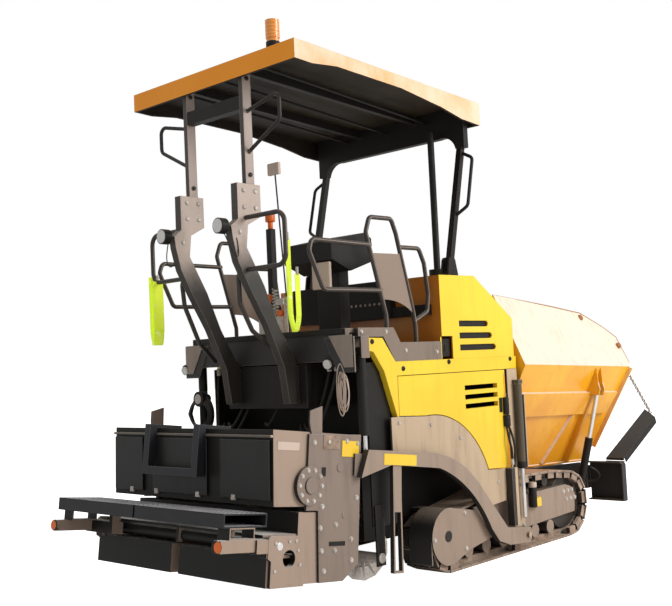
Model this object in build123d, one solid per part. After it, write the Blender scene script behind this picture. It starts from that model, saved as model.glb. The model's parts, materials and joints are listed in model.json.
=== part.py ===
"""Small tracked asphalt paver, one STEP file for each named piece.

Frame: millimetres, +X towards the hopper, +Y to the machine's left, +Z up from the ground
under the tracks. Lengths along X are drawn from a datum near the driver's step, and each
piece is moved back by middle_x as it is written, so that the origin of the written pieces is
the middle of the ground area that the machine covers.
The machine is in transport trim: screed raised, hopper wings folded up.
"""
from build123d import *
import math
import os

# ---------------------------------------------------------------- driving dimensions
body_half = 885            # half width over the hood, doors and fenders
skin = 15                  # sheet-steel body panels as built, with their folded edges
gap = 5                    # least space between a moving piece and its neighbour
middle_x = 133             # middle of the machine's length, from the drawing's datum

shoe_pitch = 140           # one track shoe to the next
shoe_count = 37
shoe_thickness = 27        # from the chain's pitch line to the shoe's outer face
track_width = 320
track_outer = 862          # outer edge of the track from the centre plane
sprocket_radius = 190      # pitch line round the rear sprocket
idler_radius = 262         # pitch line round the front idler
carriers = ((1050, 612), (600, 625))    # top rollers: x, and height of the belt over them
sprocket_x = -535

frame_half = 500           # outer face of the chassis side plates
frame_wall = 25
tunnel_floor = 560         # the slat conveyor's upper face
tunnel_roof = 860
rear_bulkhead_x = -1105

deck_z = 1890              # operator's rear deck
lift_pin = (-1475, 15 - body_half, 1720)     # top eyes of the screed lift cylinders
step_z = deck_z - 130              # lower floor beside the hood
beam_z = (1530, 1640)      # painted side beams
hood_rear_x = -523
hood_top_z = 2300
hood_break_x = -50         # where the slope down to the front begins
hood_front_x = 485
hood_shoulder_z = 1960     # foot of the slope

canopy_x = (-2043, 137)
canopy_half = 907
canopy_drop = 98           # the roof falls this much to the front
canopy_rear_z = 3722       # underside of the rear fascia
fascia = 137
roof_skin = 24

post_y = 317               # rear posts from the centre plane
post_x = (-2010, -1930)
front_post_y = 770
rail_y = 830
rail_radius = 17

hopper_rear_x = 500
hopper_half = 520          # hinge line of the wings
hopper_dip = 2.4           # the hinge line falls this many degrees to the front
hinge_z = 650              # height of the hinge line at its rear end
wing_sheet = 12
crease_out = 425           # how far the crease stands out from the hinge line
crease_up = 915            # and how far above it
lip_in = 300               # how far the lip stands back in from the crease
lip_up = 615
wing_eye = (1301, -930, 695)       # rod eye of a wing cylinder, from the hinge line's rear end
wing_foot = (1301, -712, -198)     # and the barrel's foot

tow_x, tow_z = 445, 150    # axis of the tow points
lift_angle = 7.3           # the screed's nose-down tilt when it is raised
arm_y = (body_half + 15, body_half + 65)
screed_half = 880
sole_z = -254              # screed sole, from the tow points
cover_top = 728            # top of the screed's housing, from the tow points
extension_reach = 905      # outer face of an extension, slid in

auger_x, auger_z = -1325, 250
auger_radius = 178
auger_pitch = 300
shaft_radius = 35
roller_radius = 85
roller_x, roller_z = 2390, 410
journal = 22
bearing_play = 0.06        # radial play of a shaft in its bearing

pieces = {}


# ---------------------------------------------------------------- ways of making shapes
def bar(x, y, z):
    """A block between three (low, high) pairs."""
    low, high = (min(x), min(y), min(z)), (max(x), max(y), max(z))
    size = [high[i] - low[i] for i in range(3)]
    middle = [(high[i] + low[i]) / 2 for i in range(3)]
    return Pos(*middle) * Box(*size)


def outline(start, *steps):
    """A closed face: a step is the next corner, or (through, end) for an arc."""
    edges, here = [], start
    for step in steps:
        if isinstance(step[0], tuple):
            through, end = step
            edges.append(ThreePointArc(here, through, end))
        else:
            end = step
            edges.append(Line(here, end))
        here = end
    if here != start:
        edges.append(Line(here, start))
    return make_face(Curve() + edges)


def along_y(face, y):
    """A face drawn in (x, z), as a plate between two y values."""
    plane = Plane(origin=(0, max(y), 0), x_dir=(1, 0, 0), z_dir=(0, -1, 0))
    return extrude(plane * face, amount=max(y) - min(y))


def along_x(face, x):
    """A face drawn in (y, z), as a plate between two x values."""
    plane = Plane(origin=(min(x), 0, 0), x_dir=(0, 1, 0), z_dir=(1, 0, 0))
    return extrude(plane * face, amount=max(x) - min(x))


def along_z(face, z):
    """A face drawn in (x, y), as a plate between two z values."""
    return extrude(Plane.XY.offset(min(z)) * face, amount=max(z) - min(z))


def rod(a, b, radius):
    """A round bar between two points."""
    axis = Vector(*b) - Vector(*a)
    return extrude(Plane(origin=a, z_dir=axis) * Circle(radius), amount=axis.length)


def tube(points, bend, radius=rail_radius):
    """A bent round tube through its corner points."""
    path = FilletPolyline(*points, radius=bend)
    return sweep(Plane(origin=path @ 0, z_dir=path % 0) * Circle(radius), path=path)


def mirrored(part):
    return part.mirror(Plane.XZ)


def pair(part):
    """The right-hand piece and its left-hand twin, as solids that don't touch."""
    return Compound(list(part.solids()) + list(mirrored(part).solids()))


def one(part):
    return Compound(list(part.solids()))


def right(y):
    """A pair of distances from the centre plane, on the right-hand side."""
    return (-y[0], -y[1])


# ---------------------------------------------------------------- tracks
def taut_loop(wheels):
    """The closed line of a belt pulled tight round (x, z, radius) wheels, anticlockwise."""
    normals = []
    for (x0, z0, r0), (x1, z1, r1) in zip(wheels, wheels[1:] + wheels[:1]):
        span = math.hypot(x1 - x0, z1 - z0)
        along = ((x1 - x0) / span, (z1 - z0) / span)
        lean = (r0 - r1) / span
        side = math.sqrt(1 - lean * lean)
        normals.append((lean * along[0] + side * along[1], lean * along[1] - side * along[0]))
    edges = []
    for number, (x, z, radius) in enumerate(wheels):
        arrive, leave = normals[number - 1], normals[number]
        start = math.atan2(arrive[1], arrive[0])
        turn = (math.atan2(leave[1], leave[0]) - start) % (2 * math.pi)
        rim = [(x + radius * math.cos(start + part * turn), z + radius * math.sin(start + part * turn))
               for part in (0, 0.5, 1)]
        if edges:
            edges.append(Line(edges[-1] @ 1, rim[0]))
        edges.append(ThreePointArc(*rim))
    edges.append(Line(edges[-1] @ 1, edges[0] @ 0))
    return edges


def belt_wheels(idler_x, offset=0):
    """Sprocket, idler and top rollers, as the belt's pitch line moved out by offset sees them."""
    ends = ((sprocket_x, sprocket_radius), (idler_x, idler_radius))
    wheels = [(x, radius + shoe_thickness, radius + offset) for x, radius in ends]
    return wheels + [(x, z - shoe_thickness - 75, 75 + offset) for x, z in carriers]


def find_idler_x():
    """Where the idler stands, so that the belt holds a whole number of shoes."""
    x = 1300.0
    for _ in range(20):
        length = sum(edge.length for edge in taut_loop(belt_wheels(x)))
        x += (shoe_count * shoe_pitch - length) / 2
    return x


idler_x = find_idler_x()
sprocket_z = sprocket_radius + shoe_thickness
idler_z = idler_radius + shoe_thickness


def belt_face(offset):
    """The area inside the belt, its pitch line moved out by offset."""
    return make_face(Curve() + taut_loop(belt_wheels(idler_x, offset)))


def belt_pins():
    """Where the chain pins sit on the pitch line."""
    line = Wire(taut_loop(belt_wheels(idler_x)))
    return [line @ (number / shoe_count) for number in range(shoe_count)]


def make_track():
    chain_half = 70
    middle = -(track_outer - track_width / 2)
    chain = along_y(belt_face(12), (middle - chain_half, middle + chain_half))
    chain -= along_y(belt_face(-28), (middle - chain_half, middle + chain_half))
    plate = 17
    shoe = Pos(0, 0, plate / 2 - shoe_thickness) * Box(shoe_pitch - 8, track_width, plate)
    shoes = []
    pins = belt_pins()
    for a, b in zip(pins, pins[1:] + pins[:1]):
        heading = math.degrees(math.atan2(b.Y - a.Y, b.X - a.X))
        shoes.append(Pos((a.X + b.X) / 2, middle, (a.Y + b.Y) / 2) * Rot(0, -heading, 0) * shoe)
    return chain + shoes


# ---------------------------------------------------------------- track frames
def make_track_frame():
    """Box beam between the wheels, with its outer side plate, wheels and rollers."""
    inner, outer = -(track_outer - track_width + 40), -(track_outer - 52)
    beam = along_y(
        outline((-250, 170), (idler_x - 600, 172), (idler_x + 137, 195), (idler_x + 156, 361),
                (idler_x + 91, 425), (idler_x, 452), (-120, 440)),
        (inner, outer),
    )
    middle = -(track_outer - track_width / 2)
    drum = (middle - 66, middle + 66)
    sprocket = along_y(Pos(sprocket_x, sprocket_z) * Circle(sprocket_radius - 34), drum)
    idler = along_y(Pos(idler_x, idler_z) * Circle(idler_radius - 32), drum)
    axle = bar((sprocket_x - 50, idler_x), (-frame_half, middle), (230, 330))
    arm = bar((sprocket_x, -200), (inner, -frame_half - 5), (180, 300))
    rollers = [
        rod((x, inner, 116), (x, outer + 6, 116), 60)
        for x in (sprocket_x + 330 + step * 250 for step in range(6))
    ]
    tops = [rod((x, middle - 66, z - shoe_thickness - 75), (x, middle + 66, z - shoe_thickness - 75), 44)
            for x, z in carriers]
    stands = [bar((x - 20, x + 20), (middle - 30, middle + 30), (430, z - shoe_thickness - 75))
              for x, z in carriers]
    return beam + axle + arm + sprocket + idler + rollers + tops + stands


def make_drive_cover():
    """Shroud round the rear of a track: round face plate with a wedge, and its rolled shell."""
    radius, wall = 217, 8
    outer = -(track_outer + 6)
    x, z = -551, 282
    disc = Pos(x, z) * Circle(radius)
    wedge = outline((x, z + radius), (-183, 433), (27, 191), (-279, 142), (-470, 81), (x, z))
    plate = along_y(disc + wedge, (outer, outer - 12))
    ring = disc - Pos(x, z) * Circle(radius - wall)
    crown = outline((x - 300, z), (x - 300, z + 300), (x, z + 300), (x, z))
    skirt = outline((x - radius, z + 1), (x - radius + wall, z + 1), (x - radius + wall, 95),
                    (x - radius, 95))
    shell = along_y((ring & crown) + skirt, (outer, -(track_outer - 206)))
    top = along_y(outline((x - 1, z + radius - wall), (x - 1, z + radius), (x + 131, z + radius - 23),
                          (x + 131, z + radius - 23 - wall)), (outer, -(track_outer - 206)))
    hanger = bar((x + 20, x + 110), (-frame_half, outer), (z + radius - 40, z + radius - 20))
    return plate + shell + top + hanger


pieces["track_right"] = one(make_track())
pieces["track_left"] = mirrored(pieces["track_right"])
pieces["track_frames"] = pair(make_track_frame())
pieces["drive_covers"] = pair(make_drive_cover())


# ---------------------------------------------------------------- hopper frame of reference
hopper_place = Pos(hopper_rear_x, 0, hinge_z) * Rot(0, hopper_dip, 0)


def in_hopper(point):
    """A point given along, across and above the hinge line's rear end, in the drawing's frame."""
    place = (hopper_place * Pos(*point)).position
    return place.X, place.Y, place.Z


# ---------------------------------------------------------------- chassis
frame_front_x = 2200
mast_x = (-1580, -1440)    # box that carries the rear posts
side_wall_x = (-1380, rear_bulkhead_x)


def make_main_frame():
    low = 240
    throat_x = hopper_rear_x - 30
    dip = math.tan(math.radians(hopper_dip))
    side = along_y(
        outline((rear_bulkhead_x, low + 60), (frame_front_x, low),
                (frame_front_x, hinge_z - 25 - dip * (frame_front_x - throat_x)),
                (throat_x, hinge_z - 25), (throat_x, tunnel_roof), (rear_bulkhead_x, tunnel_roof)),
        (-frame_half, -frame_half + frame_wall),
    )
    roof = bar((rear_bulkhead_x, throat_x), (-frame_half, frame_half), (tunnel_roof, tunnel_roof + 20))
    frame = side + mirrored(side) + roof
    for x in (rear_bulkhead_x, -400, 500, 1400, frame_front_x - 90):
        frame += bar((x, x + 90), (-frame_half, frame_half), (low + 60, low + 140))
    inner_half = body_half - 50
    frame += bar((rear_bulkhead_x, rear_bulkhead_x + 20), (-inner_half, inner_half),
                 (tunnel_roof, beam_z[1]))
    x, y, z = in_hopper(wing_foot)
    for sign in (-1, 1):
        wall = (sign * inner_half, sign * (inner_half - 15))
        frame += bar(side_wall_x, wall, (470, beam_z[1]))
        frame += bar((side_wall_x[0], rear_bulkhead_x), (wall[1], sign * (frame_half - 20)),
                     (tunnel_roof, tunnel_roof + 20))
        cheek = (sign * 400, sign * 430)
        frame += bar((mast_x[0], rear_bulkhead_x + 10), cheek, (1330, beam_z[1]))
        arm = (sign * (frame_half - frame_wall), sign * (-y - 45))
        frame += bar((x - 56, x + 56), arm, (z - 45, z + 45))
        for cheek_x in (x - 56, x + 44):
            frame += bar((cheek_x, cheek_x + 12), (arm[1] - sign * 10, sign * (-y + 40)), (z - 45, z + 45))
    frame += bar(mast_x, (-430, 430), (1330, 1650))
    return frame


def make_conveyor():
    """Two slat conveyors side by side, each a floor plate with scraper bars across it."""
    front, back = frame_front_x - 200, rear_bulkhead_x - 40
    lanes = []
    for sign in (-1, 1):
        lane = (sign * 30, sign * (frame_half - frame_wall - 10))
        body = bar((back, front), lane, (tunnel_floor - 40, tunnel_floor - 15))
        slats = [
            bar((x, x + 30), lane, (tunnel_floor - 15, tunnel_floor + 5))
            for x in range(int(back) + 60, int(front) - 60, 240)
        ]
        drum = rod((back, min(lane), tunnel_floor - 60), (back, max(lane), tunnel_floor - 60), 45)
        lanes.append(body + slats + drum)
    return Compound([solid for lane in lanes for solid in lane.solids()])


pieces["main_frame"] = one(make_main_frame())
pieces["conveyor"] = make_conveyor()
pieces["engine_block"] = one(bar((-430, 430), (-330, 330), (tunnel_roof + 20, 1560)))


# ---------------------------------------------------------------- side panels
fender_y = (body_half - skin, body_half)
door_x = (-1088, 324)


def make_fender():
    plate = along_y(
        outline((-1185, 1235), (-1093, 1235), (-768, 1216), ((-261, 1074), (8, 730)), (275, 712),
                (249, 455), (40, 440), ((-230, 690), (-560, 880)), (-930, 945), (-1185, 950)),
        right(fender_y),
    )
    shelf = along_y(
        outline((-1084, 990), (-700, 985), (-330, 865), (-60, 700), (250, 700), (250, 712),
                (-52, 712), (-330, 880), (-695, 998), (-1084, 1004)),
        (-frame_half, -fender_y[0]),
    )
    return plate + shelf


def make_side_beam():
    """Painted beam over the doors, with the neck that drops at its rear end."""
    face = outline(
        (-1412, 1819), (-1243, 1815), (-1105, beam_z[1]), (513, beam_z[1]), (507, beam_z[0] + 5),
        (door_x[0] - gap, beam_z[0] + 5), (door_x[0] - gap, 1236), (-1113, 1236), (-1240, 1575),
        (-1348, 1716), (-1395, 1724), ((-1427, 1768), (-1412, 1819)),
    )
    return along_y(face, (-body_half, -body_half + 50))


def make_door():
    """Hinged panel between beam and fender, with three cooling slots."""
    face = outline(
        (door_x[0], beam_z[0]), (door_x[1], beam_z[0]), (door_x[1] - 12, 718), (19, 736),
        ((-256, 1081), (-768, 1222)), (door_x[0], 1240),
    )
    plate = along_y(face, (-body_half, -body_half + 40))
    for z in (1238, 1312, 1386):
        plate -= bar((-255, 205), (-body_half - 1, -body_half + 41), (z, z + 38))
    return plate


pieces["fenders"] = pair(make_fender())
pieces["side_beams"] = pair(make_side_beam())
pieces["side_door_right"] = one(make_door())
pieces["side_door_left"] = mirrored(pieces["side_door_right"])


# ---------------------------------------------------------------- hood
def hood_top(x):
    """Height of the hood's nearly level top."""
    return hood_top_z + 8 * (x - hood_rear_x) / (hood_break_x - hood_rear_x)


def make_hood():
    """Sheet hood, sloped to a shoulder at the front, notched beside the step."""
    notch = (-385, beam_z[1] + 180)

    def shell(inset, low):
        return along_y(
            outline((hood_rear_x + inset, low), (hood_rear_x + inset, hood_top_z - inset),
                    (hood_break_x - inset / 3, hood_top_z + 8 - inset),
                    (hood_front_x - inset, hood_shoulder_z - inset / 2), (hood_front_x - inset, low)),
            (-body_half + inset, body_half - inset),
        )
    hood = shell(0, beam_z[1]) - shell(skin, beam_z[1] - 1)
    for side in ((-body_half - 1, -body_half + skin + 1), (body_half - skin - 1, body_half + 1)):
        hood -= bar((hood_rear_x - 1, notch[0]), side, (beam_z[1] - 1, notch[1]))
        for number, z in enumerate((1918, 1822, 1727)):
            end = 95 + 50 * number
            slot = bar((-286, end), side, (z - 24, z + 24))
            hood -= slot + rod((end, side[0], z), (end, side[1], z), 24)
    return hood


pieces["hood"] = one(make_hood())


# ---------------------------------------------------------------- operator's platform
platform_rear_x = -1590


def make_platform():
    half = body_half - 45
    rear_deck = bar((platform_rear_x, rear_bulkhead_x - 1), (-half, half), (deck_z - 30, deck_z))
    riser = bar((rear_bulkhead_x - 21, rear_bulkhead_x - 1), (-half, half), (step_z - 30, deck_z))
    floor = bar((rear_bulkhead_x - 21, hood_rear_x), (-half, half), (step_z - 30, step_z))
    back = bar((platform_rear_x, platform_rear_x + 40), (-half, half), (1660, deck_z))
    skirt_low = deck_z - 65
    skirt_face = outline((-1505, deck_z), (-1109, deck_z), (-1035, step_z + 20), (hood_rear_x - 12, step_z + 20),
                         (hood_rear_x - 12, beam_z[1] + 1), (-1103, beam_z[1] + 1),
                         (-1230, skirt_low), (-1505, skirt_low))
    platform = rear_deck + riser + floor + back
    for sign in (-1, 1):
        skirt = along_y(skirt_face, (-body_half, -body_half + 45))
        hanger = along_x(outline((-body_half - 39, 1830), (-640, 1830), (-760, 1580), (-body_half - 39, 1580)),
                         (platform_rear_x - 12, platform_rear_x))
        x, y, z = lift_pin
        ears = bar((x - 43, x + 43), (y - 50, y + 50), (skirt_low - 15, skirt_low + 5))
        for ear_y in ((y - 50, y - 38), (y + 38, y + 50)):
            ears += bar((x - 43, x + 43), ear_y, (z - 45, skirt_low))
        side = skirt + hanger + ears
        platform += side if sign < 0 else mirrored(side)
    return platform


def make_console():
    """Operator's desk: pedestal, box and tilted control panel."""
    pedestal = bar((-1160, -1060), (-420, -180), (deck_z, 2380))
    desk = along_y(outline((-1390, 2420), (-1390, 2560), (-1010, 2640), (-930, 2600), (-930, 2420),
                           (-1180, 2340)), (-560, -60))
    return pedestal + desk


def make_instrument_wall():
    """Cabinet of switches and fuses on the hood's rear wall, and its cable channel."""
    cabinet = bar((-610, hood_rear_x), (-440, 640), (1990, 2296))
    return cabinet + bar((-590, hood_rear_x), (-800, -435), (1992, 2074))


pieces["platform"] = one(make_platform())
pieces["control_console"] = one(make_console())
pieces["instrument_wall"] = one(make_instrument_wall())


# ---------------------------------------------------------------- canopy and its posts
post_foot_z = 2725


def make_post_bracket():
    """Goose-neck box arm with a pocket for the post."""
    face = outline((-2110, 2950), (-1890, 2950), (-1890, 2722), (-2020, 2655), (-2040, 2493),
                   (-1885, 2222), (-1763, 1943), (mast_x[0], 1631), (mast_x[0], 1370), (-1680, 1370),
                   (-1720, 1640), (-1870, 1950), (-2025, 2205), (-2125, 2390), (-2168, 2553),
                   (-2180, 2640), (-2112, 2690))
    arm = along_y(face, (-post_y - 33, -post_y + 33))
    pocket = bar((post_x[0] - 1, post_x[1] + 1), (-post_y - 21, -post_y + 21), (post_foot_z, 3000))
    return arm - pocket


def fascia_low(x):
    """Height of the roof's lower rim at x."""
    return canopy_rear_z - canopy_drop * (x - canopy_x[0]) / (canopy_x[1] - canopy_x[0])


def roof_under(x):
    """Height of the roof panel's inner face at x."""
    return fascia_low(x) + fascia - roof_skin


rear_post_top = roof_under(post_x[1])


def make_rear_post():
    post = bar(post_x, (-post_y - 20, -post_y + 20), (post_foot_z, rear_post_top))
    x = (post_x[0] + post_x[1]) / 2
    out = -post_y - 20
    loop = tube([(x, out + 12, 3480), (x, out - 330, 3560), (x, out - 330, 3360), (x, out + 12, 3180)],
                50, 14)
    return post + loop


front_post_foot = (-225, 2350)
front_post_head = (30, 3390)


def make_front_post():
    half = 25

    def on_post(z):
        slope = (front_post_head[0] - front_post_foot[0]) / (front_post_head[1] - front_post_foot[1])
        return front_post_foot[0] + (z - front_post_foot[1]) * slope
    low, high = front_post_foot[1], front_post_head[1]
    post = along_y(outline((on_post(low) - half, low), (on_post(low) + half, low),
                           (on_post(high) + half, high), (on_post(high) - half, high)),
                   (-front_post_y - half, -front_post_y + half))
    ear_face = outline((-290, hood_top(-290)), (-150, hood_top(-150)), (-180, 2420),
                       ((-225, 2465), (-270, 2420)))
    ear = along_y(ear_face, (-front_post_y - 40, -front_post_y - half))
    ear += along_y(ear_face, (-front_post_y + half, -front_post_y + 40))
    y = -front_post_y
    loop = tube([(on_post(3350), y - 15, 3350), (on_post(3290), y - 130, 3290),
                 (on_post(2880), y - 130, 2880), (on_post(2810), y - 15, 2810)], 50, 14)
    return post + ear + loop


def make_canopy_frame():
    """Rear cross channel on the posts, long ribs and the front cross beam with gussets."""
    rear = bar((post_x[0] + 5, post_x[1] - 5), (-post_y + 20, post_y - 20), (3500, 3600))
    front_x = (front_post_head[0] - 30, front_post_head[0] + 30)
    top = roof_under(front_x[1])
    low = front_post_head[1] + 110
    half = front_post_y + 60
    rib_end = front_x[0] + 10
    rib = along_y(outline((post_x[1], roof_under(post_x[1]) - 70), (rib_end, roof_under(rib_end) - 70),
                          (rib_end, roof_under(rib_end)), (post_x[1], roof_under(post_x[1]))),
                  (-post_y - 20, -post_y + 20))
    beam = along_x(
        outline((-half, low - 110), (-half + 90, low - 110), ((-half + 150, low - 20), (-half + 260, low)),
                (half - 260, low), ((half - 150, low - 20), (half - 90, low - 110)), (half, low - 110),
                (half, top), (-half, top)), front_x)
    return Compound(list(rear.solids()) + list((beam + rib + mirrored(rib)).solids()))


def make_canopy():
    """One-piece roof with a deep fascia, hollow from below."""
    def profile(inset, low):
        x0, x1 = canopy_x[0] + inset, canopy_x[1] - inset
        return outline((x0, fascia_low(x0) - low), (x1, fascia_low(x1) - low),
                       (x1, fascia_low(x1) + fascia - inset), (x0, fascia_low(x0) + fascia - inset))
    roof = along_y(profile(0, 0), (-canopy_half, canopy_half))
    hollow = along_y(profile(roof_skin, 5), (-canopy_half + roof_skin, canopy_half - roof_skin))
    arch = along_y(outline((-1880, fascia_low(-1880) - 1), (-1620, fascia_low(-1620) + 36),
                           (-900, fascia_low(-900) + 40), (-420, fascia_low(-420) - 1)),
                   (-canopy_half - 1, canopy_half + 1))
    chin = along_y(outline((-420, fascia_low(-420) + 1), (-120, fascia_low(-120) - 45),
                           (canopy_x[1], fascia_low(canopy_x[1]) - 50),
                           (canopy_x[1], fascia_low(canopy_x[1]) + 1)),
                   (-canopy_half, -canopy_half + roof_skin))
    brow = bar((canopy_x[1] - roof_skin, canopy_x[1]), (-canopy_half, canopy_half),
               (fascia_low(canopy_x[1]) - 50, fascia_low(canopy_x[1]) + 20))
    return roof - hollow - arch + chin + mirrored(chin) + brow


def make_exhaust():
    x, y = -85, -550
    collar = rod((x, y, hood_top_z + 8.5), (x, y, 2390), 70)
    pipe = rod((x, y, 2390), (x, y, 3545), 28)
    return collar + pipe


beacon_at = (-1990, -650)


def make_beacon():
    x, y = beacon_at
    top = fascia_low(x - 45) + fascia
    base = rod((x, y, top), (x, y, top + 70), 45)
    lens = rod((x, y, top + 70), (x, y, 4056), 50)
    return base + lens


pieces["post_brackets"] = pair(make_post_bracket())
pieces["rear_posts"] = pair(make_rear_post())
pieces["front_posts"] = pair(make_front_post())
pieces["canopy_frame"] = make_canopy_frame()
pieces["canopy"] = one(make_canopy())
pieces["exhaust_stack"] = one(make_exhaust())
pieces["beacon"] = one(make_beacon())


# ---------------------------------------------------------------- rails and lamps
def make_guard_rail():
    y = -rail_y
    rear = tube([(-1262, y, 2500), (-1880, y, 2505), (-1910, y, 2425), (-1782, y, 2160),
                 (-1160, y, 2167)], 45)
    hoop = tube([(-1121, y, deck_z), (-1121, y, 1985), (-1308, y, 2590), (-1262, y, 2706),
                 (-1010, y, 2710), (-960, y, 2600), (-797, y, 2010), (-777, y, 1900),
                 (-777, y, step_z + 20)], 45)
    front = tube([(-930, y, 2500), (-690, y, 2503), (-632, y, 2390), (-598, y, 2150),
                  (-622, y, 2015), (-790, y, 1940)], 45)
    panel = along_y(outline((-1254, 2440), (-922, 2448), (-798, 1998),
                            ((-955, 2076), (-1152, 2098))), (y - 5, y + 5))
    return rear + hoop + front + panel


def make_handrail_hoop():
    """Hooped tube beside a rear post."""
    x, inner, outer = -2040, -post_y - 33, -738
    return tube([(x, inner, 2704), (x, outer, 2704), (x, outer, 2335), (x, inner, 2335)], 80)


def make_handrail_stays():
    """Bent stays from the goose-necks down to the back of the deck, one beside each arm."""
    left = tube([(-2040, post_y + 46, 2322), (-2038, 392, 2300), (-2010, 405, 2130),
                 (-1850, 442, 1850), (platform_rear_x - 11, 556, 1706)], 60)
    right_hand = tube([(-2040, -post_y + 46, 2322), (-2038, -246, 2300), (-2005, -214, 2106),
                       (-1890, -207, 1910), (platform_rear_x - 11, -215, 1706)], 60)
    return list(left.solids()) + list(right_hand.solids())


def make_work_lamp():
    x, z = -2215, 2635
    y = -post_y
    head = rod((x - 60, y, z), (x, y, z), 56)
    neck = rod((x, y, z), (-2188, y, z - 12), 14)
    return head + neck


pieces["guard_rails"] = pair(make_guard_rail())
pieces["rear_handrails"] = Compound(list(pair(make_handrail_hoop()).solids()) + make_handrail_stays())
pieces["work_lights"] = pair(make_work_lamp())


# ---------------------------------------------------------------- hopper
def make_hopper_base():
    """Fixed rear wall of the hopper with the tunnel mouth, behind the wings' end plates."""
    half = body_half - 60
    x = (hopper_rear_x - 22, hopper_rear_x - 10)
    wall = along_x(outline((-frame_half, 645), (frame_half, 645), (half, 1400), (half, 1636),
                           (-half, 1636), (-half, 1400)), x)
    wall -= bar((x[0] - 10, x[1] + 10), (-frame_half + frame_wall + 5, frame_half - frame_wall - 5),
                (640, tunnel_roof - 2))
    return wall


def wing_planes():
    """Working planes of a right wing: lower sheet and upper lip, facing outwards."""
    foot = Vector(0, -hopper_half, 15)
    crease = foot + Vector(0, -crease_out, crease_up - 15)
    lower = Plane(origin=foot, x_dir=(1, 0, 0), z_dir=(0, -(crease_up - 15), -crease_out))
    upper = Plane(origin=crease, x_dir=(1, 0, 0), z_dir=(0, -lip_up, lip_in))
    return lower, upper


wing_front = (1755, 1912)      # front edge at the foot and at the crease


def make_wing():
    lower, upper = wing_planes()
    height = math.hypot(crease_out, crease_up - 15)
    lip = math.hypot(lip_in, lip_up)
    lap = 6                     # the two sheets pass each other at the welded crease
    sheet = extrude(lower * outline((0, 0), (wing_front[0], 0), (wing_front[1], height + lap),
                                    (0, height + lap)), amount=wing_sheet)
    lip_sheet = extrude(upper * outline((0, -lap), (wing_front[1], -lap), (1950, 40), (1938, 330),
                                        (1757, 442), (1430, 580), (900, 625), (0, lip)),
                        amount=wing_sheet)
    rib_low, rib_high, rib_out = 518, 740, 50

    def front_at(s):
        return wing_front[0] + (wing_front[1] - wing_front[0]) * s / height
    rib = extrude(lower * outline((0, rib_low), (front_at(rib_low) - 125, rib_low),
                                  (front_at(rib_high) - 75, rib_high), (0, rib_high)), amount=rib_out)
    edge_bar = extrude(lower * outline((front_at(140) - 14, 140), (front_at(140), 140),
                                       (wing_front[1], height), (wing_front[1] - 14, height)),
                       amount=50)
    x = wing_eye[0]
    strut = extrude(lower * outline((x - 25, 10), (x + 15, 10), (x + 20, rib_high - 10),
                                    (x - 20, rib_high - 10)), amount=62)
    brace = extrude(lower * outline((870, 10), (915, 10), (1150, rib_low + 5), (1105, rib_low + 5)),
                    amount=40)
    gusset = outline((-822, 640), (-965, 640), (-978, 700), (-962, 760), (-952, 895), (-938, 895))
    gussets = [along_x(gusset, (side, side + 14)) for side in (x - 50, x + 36)]
    end = along_x(outline((-hopper_half, 15), (-hopper_half - crease_out, crease_up),
                          (-hopper_half - crease_out + lip_in, crease_up + lip_up),
                          (-hopper_half + 60, 60)), (0, wing_sheet))
    hinge = rod((30, -hopper_half, 0), (wing_front[0] - 20, -hopper_half, 0), 14)
    foot = bar((30, wing_front[0] - 20), (-hopper_half - 10, -hopper_half + 4), (0, 20))
    wing = sheet + lip_sheet + rib + edge_bar + strut + brace + gussets + end + hinge + foot
    return hopper_place * wing


def cylinder_axis():
    return (Vector(*wing_eye) - Vector(*wing_foot)).normalized()


def make_wing_barrel():
    axis, start = cylinder_axis(), Vector(*wing_foot)
    body = rod(tuple(start + axis * 28), tuple(start + axis * 450), 36)
    body -= rod(tuple(start + axis * 75), tuple(start + axis * 451), 22)
    x, y, z = wing_foot
    return hopper_place * (body + rod((x - 38, y, z), (x + 38, y, z), 36))


def make_wing_rod():
    axis, end = cylinder_axis(), Vector(*wing_eye)
    body = rod(tuple(end - axis * 650), tuple(end - axis * 15), 21)
    x, y, z = wing_eye
    return hopper_place * (body + rod((x - 28, y, z), (x + 28, y, z), 28))


pieces["hopper_base"] = one(make_hopper_base())
pieces["wing_right"] = one(make_wing())
pieces["wing_left"] = mirrored(pieces["wing_right"])
pieces["wing_barrel_right"] = one(make_wing_barrel())
pieces["wing_barrel_left"] = mirrored(pieces["wing_barrel_right"])
pieces["wing_rod_right"] = one(make_wing_rod())
pieces["wing_rod_left"] = mirrored(pieces["wing_rod_right"])


# ---------------------------------------------------------------- push beam, rollers and flaps
box_z = (190, 564)         # guard box at each end of the beam
flap_hinge = (2250, 592)
flap_y = (750, 940)
flap_corner = (3150, 1009)         # top inner corner
flap_cut = 168                     # the outer edge is shorter by this much
chain_top = (1909, -950, 838)      # on the wing, in the hopper's frame of reference
chain_foot = (2985, -905, 968)
chain_gap = 50             # between the strand's lower end and that point


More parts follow.
